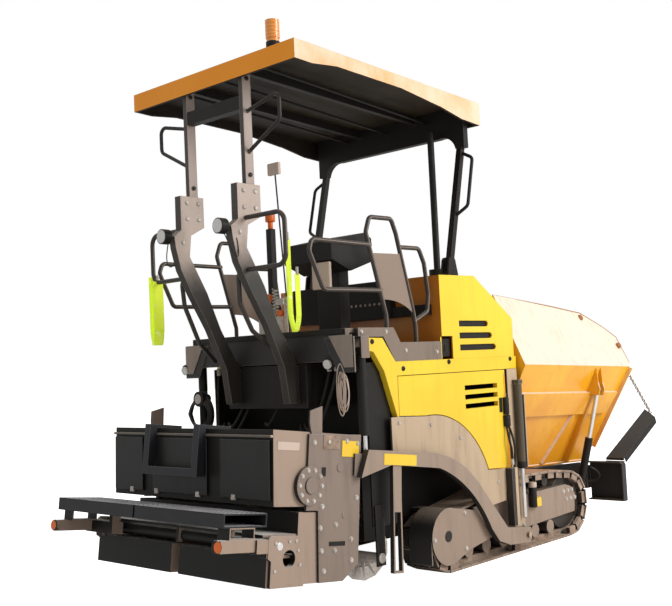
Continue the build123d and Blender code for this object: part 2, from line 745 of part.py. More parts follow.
def make_push_beam():
    beam = bar((frame_front_x, frame_front_x + 75), (-560, 560), (300, 520))
    low, high = box_z
    for sign in (-1, 1):
        face = outline((-560, low), (-940, low), (-940, high - 30), ((-931, high - 9), (-910, high)),
                       (-560, high))
        panel = along_x(face, (frame_front_x + 63, frame_front_x + 75))
        hollow = outline((-560, low + 12), (-928, low + 12), (-928, high - 32),
                         ((-922, high - 18), (-908, high - 12)), (-560, high - 12))
        rim = along_x(face - hollow, (frame_front_x, frame_front_x + 75))
        hinge = bar((flap_hinge[0] - 12, flap_hinge[0] + 12), right(flap_y), (high - 1, flap_hinge[1] - 20))
        side = panel + rim + hinge
        beam += side if sign < 0 else mirrored(side)
    for y in (-560, -10, 540):
        beam += along_y(outline((frame_front_x + 70, roller_z - 80), (roller_x, roller_z - 50),
                                ((roller_x + 50, roller_z), (roller_x, roller_z + 50)),
                                (frame_front_x + 70, roller_z + 80)), (y, y + 20))
    return beam - rod((roller_x, -600, roller_z), (roller_x, 600, roller_z), journal + bearing_play)


def make_push_roller():
    """Steel roller that the supply lorry's tyres rest against."""
    body = rod((roller_x, -535, roller_z), (roller_x, -15, roller_z), roller_radius)
    return body + rod((roller_x, -558, roller_z), (roller_x, -2, roller_z), journal)


def make_flap():
    """Chain-hung front flap: plate with a folded rim."""
    x0, z0 = flap_hinge
    lean = math.atan2(flap_corner[0] - x0, flap_corner[1] - z0)
    reach = math.hypot(flap_corner[0] - x0, flap_corner[1] - z0)
    plane = Plane(origin=(x0, 0, z0), x_dir=(0, -1, 0),
                  z_dir=(-math.cos(lean), 0, math.sin(lean)))
    low, high = flap_y[0] + 5, flap_y[1] - 5
    sheet = outline((low, 22), (high, 22), (high, reach - flap_cut), (low, reach))
    flap = extrude(plane * sheet, amount=12)
    rim = extrude(plane * outline((high - 12, 40), (high, 40), (high, reach - flap_cut),
                                  (high - 12, reach - flap_cut + 5)), amount=-55)
    knuckle = rod((x0, -low, z0), (x0, -high, z0), 14)
    web = extrude(plane * outline((low, 0), (high, 0), (high, 24), (low, 24)), amount=12)
    return flap + rim + knuckle + web


def make_flap_chain():
    """Short-link chain from the wing's corner to the flap, as one hanging strand."""
    a = Vector(*in_hopper(chain_top))
    b = Vector(*chain_foot)
    axis = (b - a).normalized()
    return rod(tuple(a + axis * 20), tuple(b - axis * chain_gap), 9)


pieces["push_beam"] = one(make_push_beam())
pieces["push_roller_right"] = one(make_push_roller())
pieces["push_roller_left"] = mirrored(pieces["push_roller_right"])
pieces["front_flap_right"] = one(make_flap())
pieces["front_flap_left"] = mirrored(pieces["front_flap_right"])
pieces["flap_chain_right"] = one(make_flap_chain())
pieces["flap_chain_left"] = mirrored(pieces["flap_chain_right"])


# ---------------------------------------------------------------- augers
auger_y = (125, 840)


def make_auger():
    """Shaft with a one-start helical flight, built from ruled wedges."""
    steps = 12
    turns = (auger_y[1] - auger_y[0] - 40) / auger_pitch
    count = int(turns * steps)
    thickness = 14
    flights = []

    def corner(number, radius, shift):
        angle = 2 * math.pi * number / steps
        y = -(auger_y[0] + 20 + auger_pitch * number / steps) + shift
        return Vector(auger_x + radius * math.cos(angle), y, auger_z + radius * math.sin(angle))
    for number in range(count):
        section = []
        for n in (number, number + 1):
            section.append([corner(n, r, s) for r, s in ((shaft_radius - 6, -thickness / 2),
                                                        (auger_radius, -thickness / 2),
                                                        (auger_radius, thickness / 2),
                                                        (shaft_radius - 6, thickness / 2))])
        a, b = section
        faces = [Face(Wire.make_polygon(a, close=True)), Face(Wire.make_polygon(b, close=True))]
        for i in range(4):
            j = (i + 1) % 4
            faces.append(Face(Wire.make_polygon([a[i], a[j], b[j]], close=True)))
            faces.append(Face(Wire.make_polygon([a[i], b[j], b[i]], close=True)))
        flights.append(Solid(Shell(faces)))
    shaft = rod((auger_x, -62, auger_z), (auger_x, -858, auger_z), shaft_radius)
    return shaft + flights


def make_auger_drive():
    """Chain case between the augers and the outer bearing hangers."""
    case = bar((auger_x - 60, auger_x + 60), (-110, 110), (auger_z - 80, auger_z + 120))
    case += bar((auger_x - 40, auger_x + 40), (-45, 45), (auger_z + 100, tunnel_roof + 60))
    case += bar((auger_x, rear_bulkhead_x), (-45, 45), (tunnel_roof + 20, tunnel_roof + 60))
    for sign in (-1, 1):
        case -= rod((auger_x, sign * 55, auger_z), (auger_x, sign * 120, auger_z),
                    shaft_radius + bearing_play)
    solids = list(case.solids())
    for sign in (-1, 1):
        hanger = bar((auger_x - 45, auger_x + 45), (sign * 835, sign * 850), (auger_z - 55, 620))
        hanger -= rod((auger_x, sign * 830, auger_z), (auger_x, sign * 860, auger_z),
                      shaft_radius + bearing_play)
        solids += list(hanger.solids())
    return Compound(solids)


pieces["auger_right"] = one(make_auger())
pieces["auger_left"] = mirrored(pieces["auger_right"])
pieces["auger_drive"] = make_auger_drive()


# ---------------------------------------------------------------- tow points
def make_tow_column():
    """Guide post and web on the tractor's side, with the slider block that carries the tow pin."""
    outer, inner = -arm_y[0] + gap, -body_half
    column = bar((345, 494), (outer, inner), (108, beam_z[0] + 4))
    column += bar((258, 340), (-arm_y[1], inner), (246, 718))
    column += bar((335, 350), (outer, inner), (246, 718))
    column += bar((482, 494), (-arm_y[1] - 12, inner), (705, 1313))
    pin = rod((tow_x, inner, tow_z), (tow_x, -arm_y[1] - 25, tow_z), journal)
    return column + pin


def make_levelling_cylinder():
    y = -arm_y[0] + gap - 34
    barrel = rod((tow_x, y, 712), (tow_x, y, 1405), 34)
    foot = bar((tow_x - 30, tow_x + 30), (-arm_y[0] + gap, y - 30), (1405, 1440))
    return barrel + rod((tow_x, y, 290), (tow_x, y, 715), 18) + foot


def raised(part):
    """From the screed's own level frame, with its origin at the tow points, to transport height."""
    return Pos(tow_x, 0, tow_z) * Rot(0, lift_angle, 0) * part


def make_tow_arm():
    """Arched side arm from the screed's end plate down to the tow point."""
    face = outline(
        (-2065, 630), (-1411, 632), ((-1030, 580), (-715, 408)), (-425, 164), (-300, 62), (40, 62),
        ((62, 0), (40, -62)), (-260, -77), (-420, -41), (-530, 56), ((-830, 345), (-1242, 521)),
        (-1810, 531), (-2129, 436),
    )
    arm = along_y(face, right(arm_y))
    arm -= rod((0, -arm_y[0] + 1, 0), (0, -arm_y[1] - 1, 0), journal + bearing_play)
    guard = outline((-1785, 540), (-1690, 540), (-1678, 300), (-1627, -226), (-1733, -226))
    guard -= outline((-1752, 200), (-1682, 200), (-1642, -212), (-1718, -212))
    return arm + along_y(guard, (-arm_y[0] - 5, -arm_y[1] + 10))


def make_screed_frame():
    """Heated screed box with its sole plate, and the guide tubes of the extensions."""
    def box(inset, half):
        return along_y(outline((-2640 + inset, sole_z + inset), (-2209, sole_z + inset),
                               (-2058 - inset, -147 + inset / 2), (-2058 - inset, 205 - inset),
                               (-2640 + inset, 205 - inset)), (-half, half))
    frame = box(0, screed_half - 20) - box(22, screed_half - 42)
    frame += bar((-2940, -2640), (-screed_half + 30, screed_half - 30), (50, 66))
    frame += bar((-2940, -2640), (-14, 14), (-45, 60))
    for x in (-2740, -2880):
        for sign in (-1, 1):
            guide = rod((x, sign * 14, 0), (x, sign * (screed_half - 20), 0), 45)
            guide -= rod((x, sign * 30, 0), (x, sign * (screed_half - 19), 0), 31.5)
            frame += guide
    return frame


def make_screed_cover():
    """Sheet housing over the screed with its rear panels and top plate."""
    def box(inset, half):
        return along_y(outline((-2867 + inset, 240), (-2905 + inset, cover_top - inset),
                               (-2075 - inset, cover_top - inset), (-2075 - inset, 240)), (-half, half))
    cover = box(0, screed_half - 20) - box(12, screed_half - 32)
    return cover


def make_end_plate():
    """Side plate of the screed with its round flange and upright ear."""
    face = outline((-2590, 714), (-2075, 732), (-2058, -147), (-2209, sole_z), (-2440, sole_z),
                   (-2477, 215), (-2590, 215))
    plate = along_y(face, (-screed_half + 20, -screed_half))
    plate += along_y(Pos(-2568, 376) * Circle(128), (-screed_half + 20, -screed_half - 12))
    plate += along_y(outline((-2555, 700), (-2583, 790), (-2583, 868), (-2470, 905), (-2460, 700)),
                     (-screed_half + 20, -screed_half + 8))
    tie = bar((-2150, -2080), (-screed_half, -arm_y[0]), (450, 600))
    return plate + tie


def make_step_frame():
    """Rectangular-tube step that hangs behind the covers."""
    legs = []
    for y in (-215, 330):
        legs.append(along_y(outline((-2700, cover_top), (-2700, cover_top + 25),
                                    (-2985, cover_top + 25), (-2985, 400), (-2925, 400),
                                    (-2925, cover_top)), (y, y + 60)))
    cross = bar((-2985, -2925), (-215, 390), (400, 455))
    return legs[0] + legs[1] + cross


plank_z = (119, 205)


def make_extension():
    """Sliding extension: screed box, end plate, guide rods and the footboard's carrier."""
    inner = -40
    box = bar((-2950, -2655), (inner, -extension_reach), (sole_z, -60))
    box -= bar((-2930, -2675), (inner - 20, -extension_reach + 20), (sole_z + 20, -80))
    end = outline((-2963, 50), (-2945, 66), (-2690, 61), (-2648, 30), (-2640, sole_z),
                  (-2935, sole_z), (-2935, -90), (-2963, -75))
    plate = along_y(end, (-extension_reach, -extension_reach - 25))
    port = rod((-2778, -extension_reach + 25, -79), (-2778, -extension_reach - 26, -79), 55)
    rods = [rod((x, -60, 0), (x, -extension_reach - 1, 0), 30) for x in (-2740, -2880)]
    carrier = bar((-3060, -2965), (-600, -extension_reach - 25), (-40, 45))
    carrier += bar((-2970, -2935), (-extension_reach + 60, -extension_reach - 20), (-70, 40))
    y = -extension_reach - 10
    arm = bar((-3345, -2950), (y, y + 60), (-29, 47)) + rod((-3353, y + 30, 9), (-3340, y + 30, 9), 40)
    foot = bar((-3266, -3061), (y + 10, y + 120), (46, plank_z[0]))
    foot -= bar((-3258, -3069), (y + 9, y + 121), (54, plank_z[0] - 8))
    inner_foot = bar((-3060, -2990), (-640, -600), (44, plank_z[0]))
    return box + plate + rods + carrier + arm + foot + inner_foot - port


def make_footboard():
    """Hollow walkway plank, open at its ends."""
    x, wall = (-3320, -2962), 10
    plank = bar(x, (-10, -extension_reach), plank_z)
    plank -= bar((x[0] + wall, x[1] - wall), (-9, -extension_reach - 1),
                 (plank_z[0] + wall, plank_z[1] - wall))
    return plank


pieces["tow_columns"] = pair(make_tow_column())
pieces["levelling_cylinders"] = pair(make_levelling_cylinder())
pieces["tow_arms"] = pair(raised(make_tow_arm()))
pieces["screed_frame"] = one(raised(make_screed_frame()))
pieces["screed_cover"] = one(raised(make_screed_cover()))
pieces["screed_end_plates"] = pair(raised(make_end_plate()))
pieces["step_frame"] = one(raised(make_step_frame()))
pieces["extension_right"] = one(raised(make_extension()))
pieces["extension_left"] = mirrored(pieces["extension_right"])
pieces["footboard_right"] = one(raised(make_footboard()))
pieces["footboard_left"] = mirrored(pieces["footboard_right"])


# ---------------------------------------------------------------- screed lift cylinders
lift_eye_z = 1000


def make_lift_barrel():
    x, y, z = lift_pin
    body = rod((x, y, 1130), (x, y, z - 30), 36) - rod((x, y, 1129), (x, y, z - 80), 23)
    return body + rod((x, y - 30, z), (x, y + 30, z), 34)


def make_lift_rod():
    x, y, _ = lift_pin
    eye = rod((x, y - 22, lift_eye_z), (x, y + 22, lift_eye_z), 30)
    return rod((x, y, lift_eye_z + 20), (x, y, 1600), 22) + eye


pieces["lift_barrels"] = pair(make_lift_barrel())
pieces["lift_rods"] = pair(make_lift_rod())


# ---------------------------------------------------------------- write one file for each piece
os.makedirs("parts", exist_ok=True)
for name, shape in pieces.items():
    export_step(Pos(-middle_x, 0, 0) * shape, f"parts/{name}.step")
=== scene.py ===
import json
import math

import bmesh
import bpy
from mathutils import Matrix, Vector


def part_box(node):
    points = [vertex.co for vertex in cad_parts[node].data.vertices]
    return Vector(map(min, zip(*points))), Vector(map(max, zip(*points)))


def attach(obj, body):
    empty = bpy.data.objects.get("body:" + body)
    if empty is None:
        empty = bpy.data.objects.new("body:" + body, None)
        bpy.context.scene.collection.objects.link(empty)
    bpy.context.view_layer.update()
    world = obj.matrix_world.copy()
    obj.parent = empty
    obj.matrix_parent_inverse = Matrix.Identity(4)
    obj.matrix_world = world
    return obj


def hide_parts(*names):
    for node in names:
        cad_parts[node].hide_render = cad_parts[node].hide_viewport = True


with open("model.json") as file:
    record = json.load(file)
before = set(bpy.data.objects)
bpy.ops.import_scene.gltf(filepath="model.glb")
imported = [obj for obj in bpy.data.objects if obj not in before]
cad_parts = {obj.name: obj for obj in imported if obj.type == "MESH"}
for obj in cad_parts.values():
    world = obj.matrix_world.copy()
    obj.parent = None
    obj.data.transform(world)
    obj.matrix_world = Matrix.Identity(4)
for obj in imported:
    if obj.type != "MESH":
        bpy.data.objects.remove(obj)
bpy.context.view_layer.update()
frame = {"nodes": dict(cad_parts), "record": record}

nodes = frame["nodes"]
sides = (("right", -1), ("left", 1))


# ---------------------------------------- crawler tracks
# Endless chains of cast steel shoes bolted to a sealed chain. The steel is bare
# where it rubs on the ground and holds pale dust and rust in its corners.
class Wire:
    """An output of a node, so that masks and sizes are written as ordinary maths."""

    def __init__(self, socket):
        self.socket = socket

    def node(self, kind, settings=None, sockets=None, out=0):
        """A new node in the same tree: settings first, then the values or wires of its sockets."""
        tree = self.socket.id_data
        made = tree.nodes.new(kind)
        for name, value in (settings or {}).items():
            setattr(made, name, value)
        for name, value in (sockets or {}).items():
            for item in value if isinstance(value, list) else [value]:
                if isinstance(item, Wire):
                    tree.links.new(item.socket, made.inputs[name])
                else:
                    made.inputs[name].default_value = item
        return Wire(made.outputs[out])

    def maths(self, operation, other):
        first, second = other if isinstance(other, tuple) else (self, other)
        return self.node("ShaderNodeMath", {"operation": operation}, {0: first, 1: second})

    def __add__(self, other):
        return self.maths("ADD", other)

    __radd__ = __add__

    def __sub__(self, other):
        return self.maths("SUBTRACT", other)

    def __rsub__(self, other):
        return self.maths("SUBTRACT", (other, self))

    def __mul__(self, other):
        return self.maths("MULTIPLY", other)

    __rmul__ = __mul__

    def __mod__(self, other):
        return self.maths("MODULO", other)

    def __abs__(self):
        return self.maths("ABSOLUTE", 0.0)

    def noise(self, scale, detail=4, rough=0.55, stretch=None):
        """Value noise on this vector, stretched along the axes if asked."""
        vector = self
        if stretch:
            vector = self.node("ShaderNodeMapping", {}, {"Vector": self, "Scale": stretch})
        return self.node("ShaderNodeTexNoise", {}, {"Vector": vector, "Scale": scale,
                                                    "Detail": detail, "Roughness": rough})

    def between(self, low, high):
        """Nought below low, one above high."""
        return self.node("ShaderNodeMapRange", {"interpolation_type": "SMOOTHSTEP"},
                         {"Value": self, "From Min": low, "From Max": high})

    def blend(self, below, above):
        """Mixes two colours, with this mask as the share of the one above."""
        def whole(colour):
            return colour if isinstance(colour, Wire) else (*colour, 1)
        return self.node("ShaderNodeMix", {"data_type": "RGBA"},
                         {0: self, 6: whole(below), 7: whole(above)}, out=2)

    def axis(self, name):
        return self.node("ShaderNodeSeparateXYZ", {}, {0: self}, out="XYZ".index(name))


def finish(name, constants=None):
    """A material, its shader, and wires for the place on the piece and for its normal."""
    material = bpy.data.materials.new(name)
    material.use_nodes = True
    shader = material.node_tree.nodes["Principled BSDF"]
    for socket, value in (constants or {}).items():
        shader.inputs[socket].default_value = value
    place = Wire(material.node_tree.nodes.new("ShaderNodeTexCoord").outputs["Object"])
    return material, shader, place, place.node("ShaderNodeNewGeometry", out=1)


def softened(facing, radius=0.006):
    """The normal as if the edges were rounded to that radius, and a mask of those edges."""
    rounded = facing.node("ShaderNodeBevel", {"samples": 4}, {"Radius": radius})
    agreement = facing.node("ShaderNodeVectorMath", {"operation": "DOT_PRODUCT"},
                            {0: facing, 1: rounded}, out=1)
    return rounded, (1 - agreement).between(0.01, 0.2)


def feed(shader, socket, wire):
    """Links a wire to a socket of the shader."""
    shader.id_data.links.new(wire.socket, shader.inputs[socket])


def relief(shader, height, distance, normal, strength=1.0):
    """Bump of that depth in metres, over that normal."""
    feed(shader, "Normal", height.node("ShaderNodeBump", {}, {
        "Height": height, "Distance": distance, "Normal": normal, "Strength": strength}))


def cover(names, material):
    """Gives CAD nodes their finish."""
    for name in names:
        mesh = nodes[name].data
        mesh.materials.clear()
        mesh.materials.append(material)


def track_steel(name, bare, rust, dust, ends=None):
    """Bare cast steel with rust, dust and rubbed edges. Ends that face along may be painted
    dark, as the shade in the gaps between shoes.
    """
    material, shader, place, facing = finish(name, {"Metallic": 0.2})
    rounded, edge = softened(facing)
    broad, fine = place.noise(3.1), place.noise(38, 6, 0.7)
    corroded = (broad * 0.6 + fine * 0.6).between(0.52, 0.72)
    dusty = (place.noise(9, 5) + facing.axis("Z") * 0.22).between(0.46, 0.72)
    colour = corroded.blend(bare, rust)
    colour = (dusty * 0.75).blend(colour, dust)
    # painted shade: faces that look along the track go dark, as in the shaded gaps between shoes
    if ends:
        colour = (abs(facing.axis("X")).between(0.6, 0.8) * (1 - edge)).blend(colour, ends)
    colour = (edge * 0.8).blend(colour, (0.55, 0.50, 0.45))
    feed(shader, "Base Color", colour)
    feed(shader, "Roughness", 0.5 + dusty * 0.3 + fine * 0.15 - edge * 0.2)
    relief(shader, fine + broad * 0.5, 0.002, rounded)
    return material


shoe_steel = track_steel("shoe_steel", (0.30, 0.215, 0.155), (0.20, 0.12, 0.075), (0.50, 0.36, 0.26))
# the pads' ends are painted dark as shade in the gaps between the shoes
pad_steel = track_steel("pad_steel", (0.33, 0.24, 0.18), (0.22, 0.135, 0.085), (0.55, 0.41, 0.30),
                        ends=(0.035, 0.027, 0.021))
cover(("track_left", "track_right"), pad_steel)


def fit(name, mesh, material, body="tractor"):
    """Puts a finished mesh on the machine, with its material and the body it moves with."""
    thing = bpy.data.objects.new(name, mesh)
    bpy.context.scene.collection.objects.link(thing)
    mesh.materials.clear()
    mesh.materials.append(material)
    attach(thing, body)
    return thing


def settled(thing):
    """The evaluated shape of an object or curve as a plain mesh; the object itself goes."""
    depsgraph = bpy.context.evaluated_depsgraph_get()
    mesh = bpy.data.meshes.new_from_object(thing.evaluated_get(depsgraph), depsgraph=depsgraph)
    bpy.data.objects.remove(thing)
    return mesh


def field(tree, points, facing, paint, sizes=None, path=None):
    """Runs a repeating tree over points, each with the direction it faces, or over a path. The
    tree's own sizes hold where none are given."""
    mesh = bpy.data.meshes.new(tree.name)
    mesh.from_pydata([tuple(point) for point in points], path or [], [])
    if facing:
        spread = mesh.attributes.new("facing", "FLOAT_VECTOR", "POINT")
        for item, direction in zip(spread.data, facing):
            item.vector = direction
    thing = bpy.data.objects.new(tree.name, mesh)
    bpy.context.scene.collection.objects.link(thing)
    modifier = thing.modifiers.new("repeat", "NODES")
    modifier.node_group = tree
    values = {"Finish": paint, **(sizes or {})}
    for item in tree.interface.items_tree:
        if item.in_out == "INPUT" and item.name in values:
            modifier[item.identifier] = values[item.name]
    return settled(thing)


def repeating(name, inputs):
    """An empty tree that takes points, the named sizes and a finish, and wires for all of them."""
    tree = bpy.data.node_groups.new(name, "GeometryNodeTree")
    face = tree.interface
    face.new_socket("Points", in_out="INPUT", socket_type="NodeSocketGeometry")
    for label, value in inputs:
        face.new_socket(label, in_out="INPUT", socket_type="NodeSocketFloat").default_value = value
    face.new_socket("Finish", in_out="INPUT", socket_type="NodeSocketMaterial")
    face.new_socket("Solid", in_out="OUTPUT", socket_type="NodeSocketGeometry")
    given = tree.nodes.new("NodeGroupInput")
    return tree, [Wire(socket) for socket in given.outputs[:len(inputs) + 2]]


def deliver(tree, placed, paint):
    """Ends a repeating tree: instances made real, and their material."""
    real = placed.node("GeometryNodeRealizeInstances", {}, {0: placed})
    done = real.node("GeometryNodeSetMaterial", {}, {"Geometry": real, "Material": paint})
    tree.links.new(done.socket, tree.nodes.new("NodeGroupOutput").inputs[0])


def set_out(points, shape):
    """One copy of a shape at each point, upright along the point's own direction."""
    way = points.node("GeometryNodeInputNamedAttribute", {"data_type": "FLOAT_VECTOR"},
                      {"Name": "facing"})
    turned = points.node("FunctionNodeAlignRotationToVector", {"axis": "Z"}, {"Vector": way})
    return points.node("GeometryNodeInstanceOnPoints", {}, {
        "Points": points, "Instance": shape, "Rotation": turned})


# hexagon heads on round washers
bolt_tree, (points, across, rise, paint) = repeating(
    "bolt_heads", (("Across flats", 0.024), ("Head height", 0.012)))
washer = points.node("GeometryNodeMeshCylinder", {}, {
    "Vertices": 14, "Radius": across * 0.75, "Depth": rise * 0.5})
corner_share = 0.577                    # a hexagon's corner radius as a share of its width
head = points.node("GeometryNodeMeshCylinder", {}, {
    "Vertices": 6, "Radius": across * corner_share, "Depth": rise * 2.0})
deliver(bolt_tree, set_out(points, points.node("GeometryNodeJoinGeometry", {}, {
    0: [washer, head]})), paint)
bright_steel = track_steel("bright_steel", (0.60, 0.55, 0.50), (0.40, 0.34, 0.29), (0.62, 0.55, 0.47))


def bolts(name, places, direction, across, material=bright_steel,
          body="tractor", rise=0.010):
    """A set of bolt heads on washers that all face one way."""
    fit(name, field(bolt_tree, places, [direction] * len(places), material, {
        "Across flats": across, "Head height": rise}), material, body)


def plate_tree(name, sizes):
    """A repeating tree that lays one flat plate of the given sizes at each point."""
    tree, (points, *spans, paint) = repeating(
        name, tuple(zip(("Length", "Breadth", "Height"), sizes)))
    plate = points.node("GeometryNodeMeshCube", {}, {
        "Size": points.node("ShaderNodeCombineXYZ", {}, dict(zip("XYZ", spans)))})
    deliver(tree, set_out(points, plate), paint)
    return tree


# steel laps that close the joints between the shoes, lugs that stiffen the shoes from
# within, and the heads of the chain's pins; each is placed from the shoe's outer face
lap, lap_ahead, lap_sunk = (0.044, 0.30, 0.004), 0.070, 0.0195
lug, lug_sunk, lug_side = (0.098, 0.036, 0.050), 0.042, 0.131
pin_head, pin_rise, pin_sunk, pin_side = 0.034, 0.008, 0.0055, 0.070
shoe_area, shoe_breadth = 0.02, 0.3     # every face of a shoe's sole is larger than this
lap_tree, lug_tree = plate_tree("shoe_laps", lap), plate_tree("shoe_lugs", lug)
joint_black = track_steel("joint_black", (0.020, 0.016, 0.013), (0.035, 0.022, 0.015),
                          (0.06, 0.045, 0.035))
for side, sign in sides:
    mesh = nodes[f"track_{side}"].data
    soles = {}
    for face in mesh.polygons:
        breadth = [mesh.vertices[index].co.y for index in face.vertices]
        if face.area > shoe_area and max(breadth) - min(breadth) > shoe_breadth:
            plane = (*face.normal.xz, face.normal.dot(face.center))
            soles.setdefault(tuple(round(part, 3) for part in plane), []).append(face)
    laps, ways, pins, lugs = [], [], [], []
    for faces in soles.values():
        out = faces[0].normal.copy()
        corners = [mesh.vertices[index].co for face in faces for index in face.vertices]
        along = Vector((out.z, 0, -out.x))
        run = [corner.dot(along) for corner in corners]
        breadth = [corner.y for corner in corners]
        middle = (out * faces[0].center.dot(out) + along * (min(run) + max(run)) / 2
                  + Vector((0, (min(breadth) + max(breadth)) / 2, 0)))
        place = middle + along * lap_ahead - out * lap_sunk
        laps.append(place)
        ways.append(out)
        lugs.append(middle - out * lug_sunk + Vector((0, sign * lug_side, 0)))
        pins.append(place - out * pin_sunk + Vector((0, sign * pin_side, 0)))
    fit(f"shoe_laps_{side}", field(lap_tree, laps, ways, joint_black), joint_black)
    bolts(f"chain_pins_{side}", pins, (0, sign, 0), pin_head, joint_black, rise=pin_rise)
    fit(f"shoe_lugs_{side}", field(lug_tree, lugs, ways, pad_steel), pad_steel)


# ---------------------------------------- track frames and drive covers
# Welded box beams in warm grey enamel, with cast wheels between them, and a rolled
# sheet cover round each sprocket. The sides are pale grey; the rest is painted black as shade.
datum_lead = 0.523                      # metres from the hood's back forwards to the datum
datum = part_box("hood")[0][0] + datum_lead


def spot(x, y, z):
    """A place on the tractor, x metres ahead of the datum."""
    return Vector((datum + x, y, z))


def machine_paint(name, colour, dust=(0.40, 0.36, 0.31), worn=(0.50, 0.47, 0.43), sheen=0.42,
                  dirt=0.6, chips=0.75, ends=None, underside=None, top=None, patch=None, gloss=0.35):
    """Enamel with worn edges, stains and dust. Its ends, all faces that do not face sideways, and
    its underside may be painted dark as shade; its top may differ in colour, and so may a patch,
    which is given as a function for its mask and a colour."""
    material, shader, place, facing = finish(name, {"Specular IOR Level": gloss})
    rounded, edge = softened(facing)
    broad, fine = place.noise(2.3, 5, 0.6), place.noise(55, 4, 0.6)
    runs = place.noise(4.5, 6, 0.65, stretch=(3.0, 3.0, 0.35))
    stained = (runs * 0.7 + broad * 0.4).between(0.5, 0.78) * dirt
    dusty = (facing.axis("Z").between(0.2, 0.9) * 0.5 + broad * 0.55 + fine * 0.2
             ).between(0.52, 1.0) * dirt
    chipped = (edge * (0.3 + fine)).between(0.25, 0.6) * chips
    shade = broad.blend(tuple(part * 0.9 for part in colour),
                        tuple(min(part * 1.08, 1) for part in colour))
    shade = stained.blend(shade, tuple(part * 0.5 for part in colour))
    # painted shade: every face that does not face sideways takes the ends' dark colour
    if ends:
        flank = abs(facing.axis("Y")).between(0.45, 0.75)
        shade = flank.blend(broad.blend(ends, tuple(part * 1.5 for part in ends)), shade)
    if patch:
        where, other = patch
        shade = where(place, facing, broad).blend(shade, other)
    shade = dusty.blend(shade, dust)
    shade = chipped.blend(shade, worn)
    if top:
        upward = facing.axis("Z").between(0.75, 0.95) * (broad + fine * 0.3).between(0.1, 0.5)
        shade = upward.blend(shade, top)
    # painted shade on faces that look down
    if underside:
        shade = (facing.axis("Z") * -1).between(0.3, 0.6).blend(shade, underside)
    feed(shader, "Base Color", shade)
    feed(shader, "Roughness", sheen + dusty * 0.35 + stained * 0.1 + fine * 0.08)
    relief(shader, fine * 0.3 + broad, 0.0012, rounded, 0.6)
    return material


def shaded_inside_frame(place, facing, broad):
    """One on all that stands further in than the frames' outer sides, where shade is painted."""
    return 1 - abs(place.axis("Y")).between(0.798, 0.802)


side_grey, pale_grey = (0.33, 0.24, 0.180), (0.52, 0.38, 0.25)
black_end_shade, shadow = (0.022, 0.020, 0.018), (0.012, 0.011, 0.010)
# the grey coat's ends and underside, and the pale coat's ends, are painted dark as shade
grey_coat = dict(dust=(0.44, 0.34, 0.26), worn=(0.55, 0.47, 0.40), ends=black_end_shade,
                 underside=shadow, dirt=0.5)
pale_coat = dict(dust=(0.53, 0.41, 0.29), worn=(0.62, 0.54, 0.46), ends=(0.10, 0.085, 0.07))
grey_enamel = machine_paint("grey_enamel", side_grey, **grey_coat)
pale_enamel = machine_paint("pale_enamel", pale_grey, **pale_coat, dirt=0.7)
cover(("drive_covers",), grey_enamel)
# the frames: everything inward of their outer sides is painted near black as shade
cover(("track_frames",), machine_paint("frame_grey", side_grey, **grey_coat,
                                       patch=(shaded_inside_frame, (0.045, 0.036, 0.029))))


def rounded_off(bm, edges, radius):
    """Rounds edges of a mesh that is being built."""
    bmesh.ops.bevel(bm, geom=edges, offset=radius, segments=2, profile=0.5, affect="EDGES")


def closed(bm, name, turn=None):
    """Ends a mesh that is being built, turned as a whole if asked."""
    if turn:
        bm.transform(turn)
    mesh = bpy.data.meshes.new(name)
    bm.to_mesh(mesh)
    bm.free()
    return mesh


def drums(items):
    """Turned pieces with chamfered rims, from (end, end, radius)."""
    bm = bmesh.new()
    for a, b, radius in items:
        a, b = Vector(a), Vector(b)
        turn = (b - a).to_track_quat("Z", "Y").to_matrix().to_4x4()
        made = bmesh.ops.create_cone(bm, cap_ends=True, segments=28, radius1=radius, radius2=radius,
                                     depth=(b - a).length,
                                     matrix=Matrix.Translation((a + b) / 2) @ turn)
        rims = {edge for vert in made["verts"] for edge in vert.link_edges
                if any(len(face.verts) > 4 for face in edge.link_faces)}
        rounded_off(bm, list(rims), min(radius * 0.12, 0.004))
    mesh = closed(bm, "drums")
    for face in mesh.polygons:
        face.use_smooth = len(face.vertices) == 4
    return mesh


def holes(y, pairs):
    """Places on an upright face of the tractor, from pairs of length and height."""
    return [spot(x, y, z) for x, z in pairs]


small_head, plate_head, large_head = 0.022, 0.026, 0.030        # across flats
adjuster_face, cover_face = 0.810, 0.880        # how far out the two plates' outer sides stand
adjuster_pitch, port_depth, port_radius = 0.075, 0.003, 0.042
adjuster_holes = [(first + step * adjuster_pitch, z)
                  for first, z in ((1.290, 0.394), (1.335, 0.320)) for step in range(3)]
cover_holes = ((-0.342, 0.432), (-0.741, 0.282), (-0.343, 0.159))
port_shadow = machine_paint("port_shadow", shadow, dirt=0.2, chips=0.2)
for side, sign in sides:
    outward = (0, sign, 0)
    bolts(f"adjuster_bolts_{side}", holes(sign * adjuster_face, adjuster_holes), outward, large_head)
    bolts(f"cover_bolts_{side}", holes(sign * cover_face, cover_holes), outward, plate_head)
    port = spot(-0.567, sign * cover_face, 0.286)
    fit(f"cover_port_{side}", drums([(port, port + Vector(outward) * port_depth, port_radius)]),
        port_shadow)


# ---------------------------------------- main frame, conveyors and augers
# A welded chassis in black, with two slat conveyors on its floor that carry the asphalt
# back to a pair of cast augers with bright, polished flights.
black_enamel = machine_paint("black_enamel", (0.016, 0.014, 0.012), dust=(0.11, 0.09, 0.07),
                             worn=(0.22, 0.19, 0.16), dirt=0.35, chips=0.5, gloss=0.2)
cover(("main_frame", "engine_block", "auger_drive"), black_enamel)
cover(("conveyor",), shoe_steel)
cover(("auger_left", "auger_right"), bright_steel)


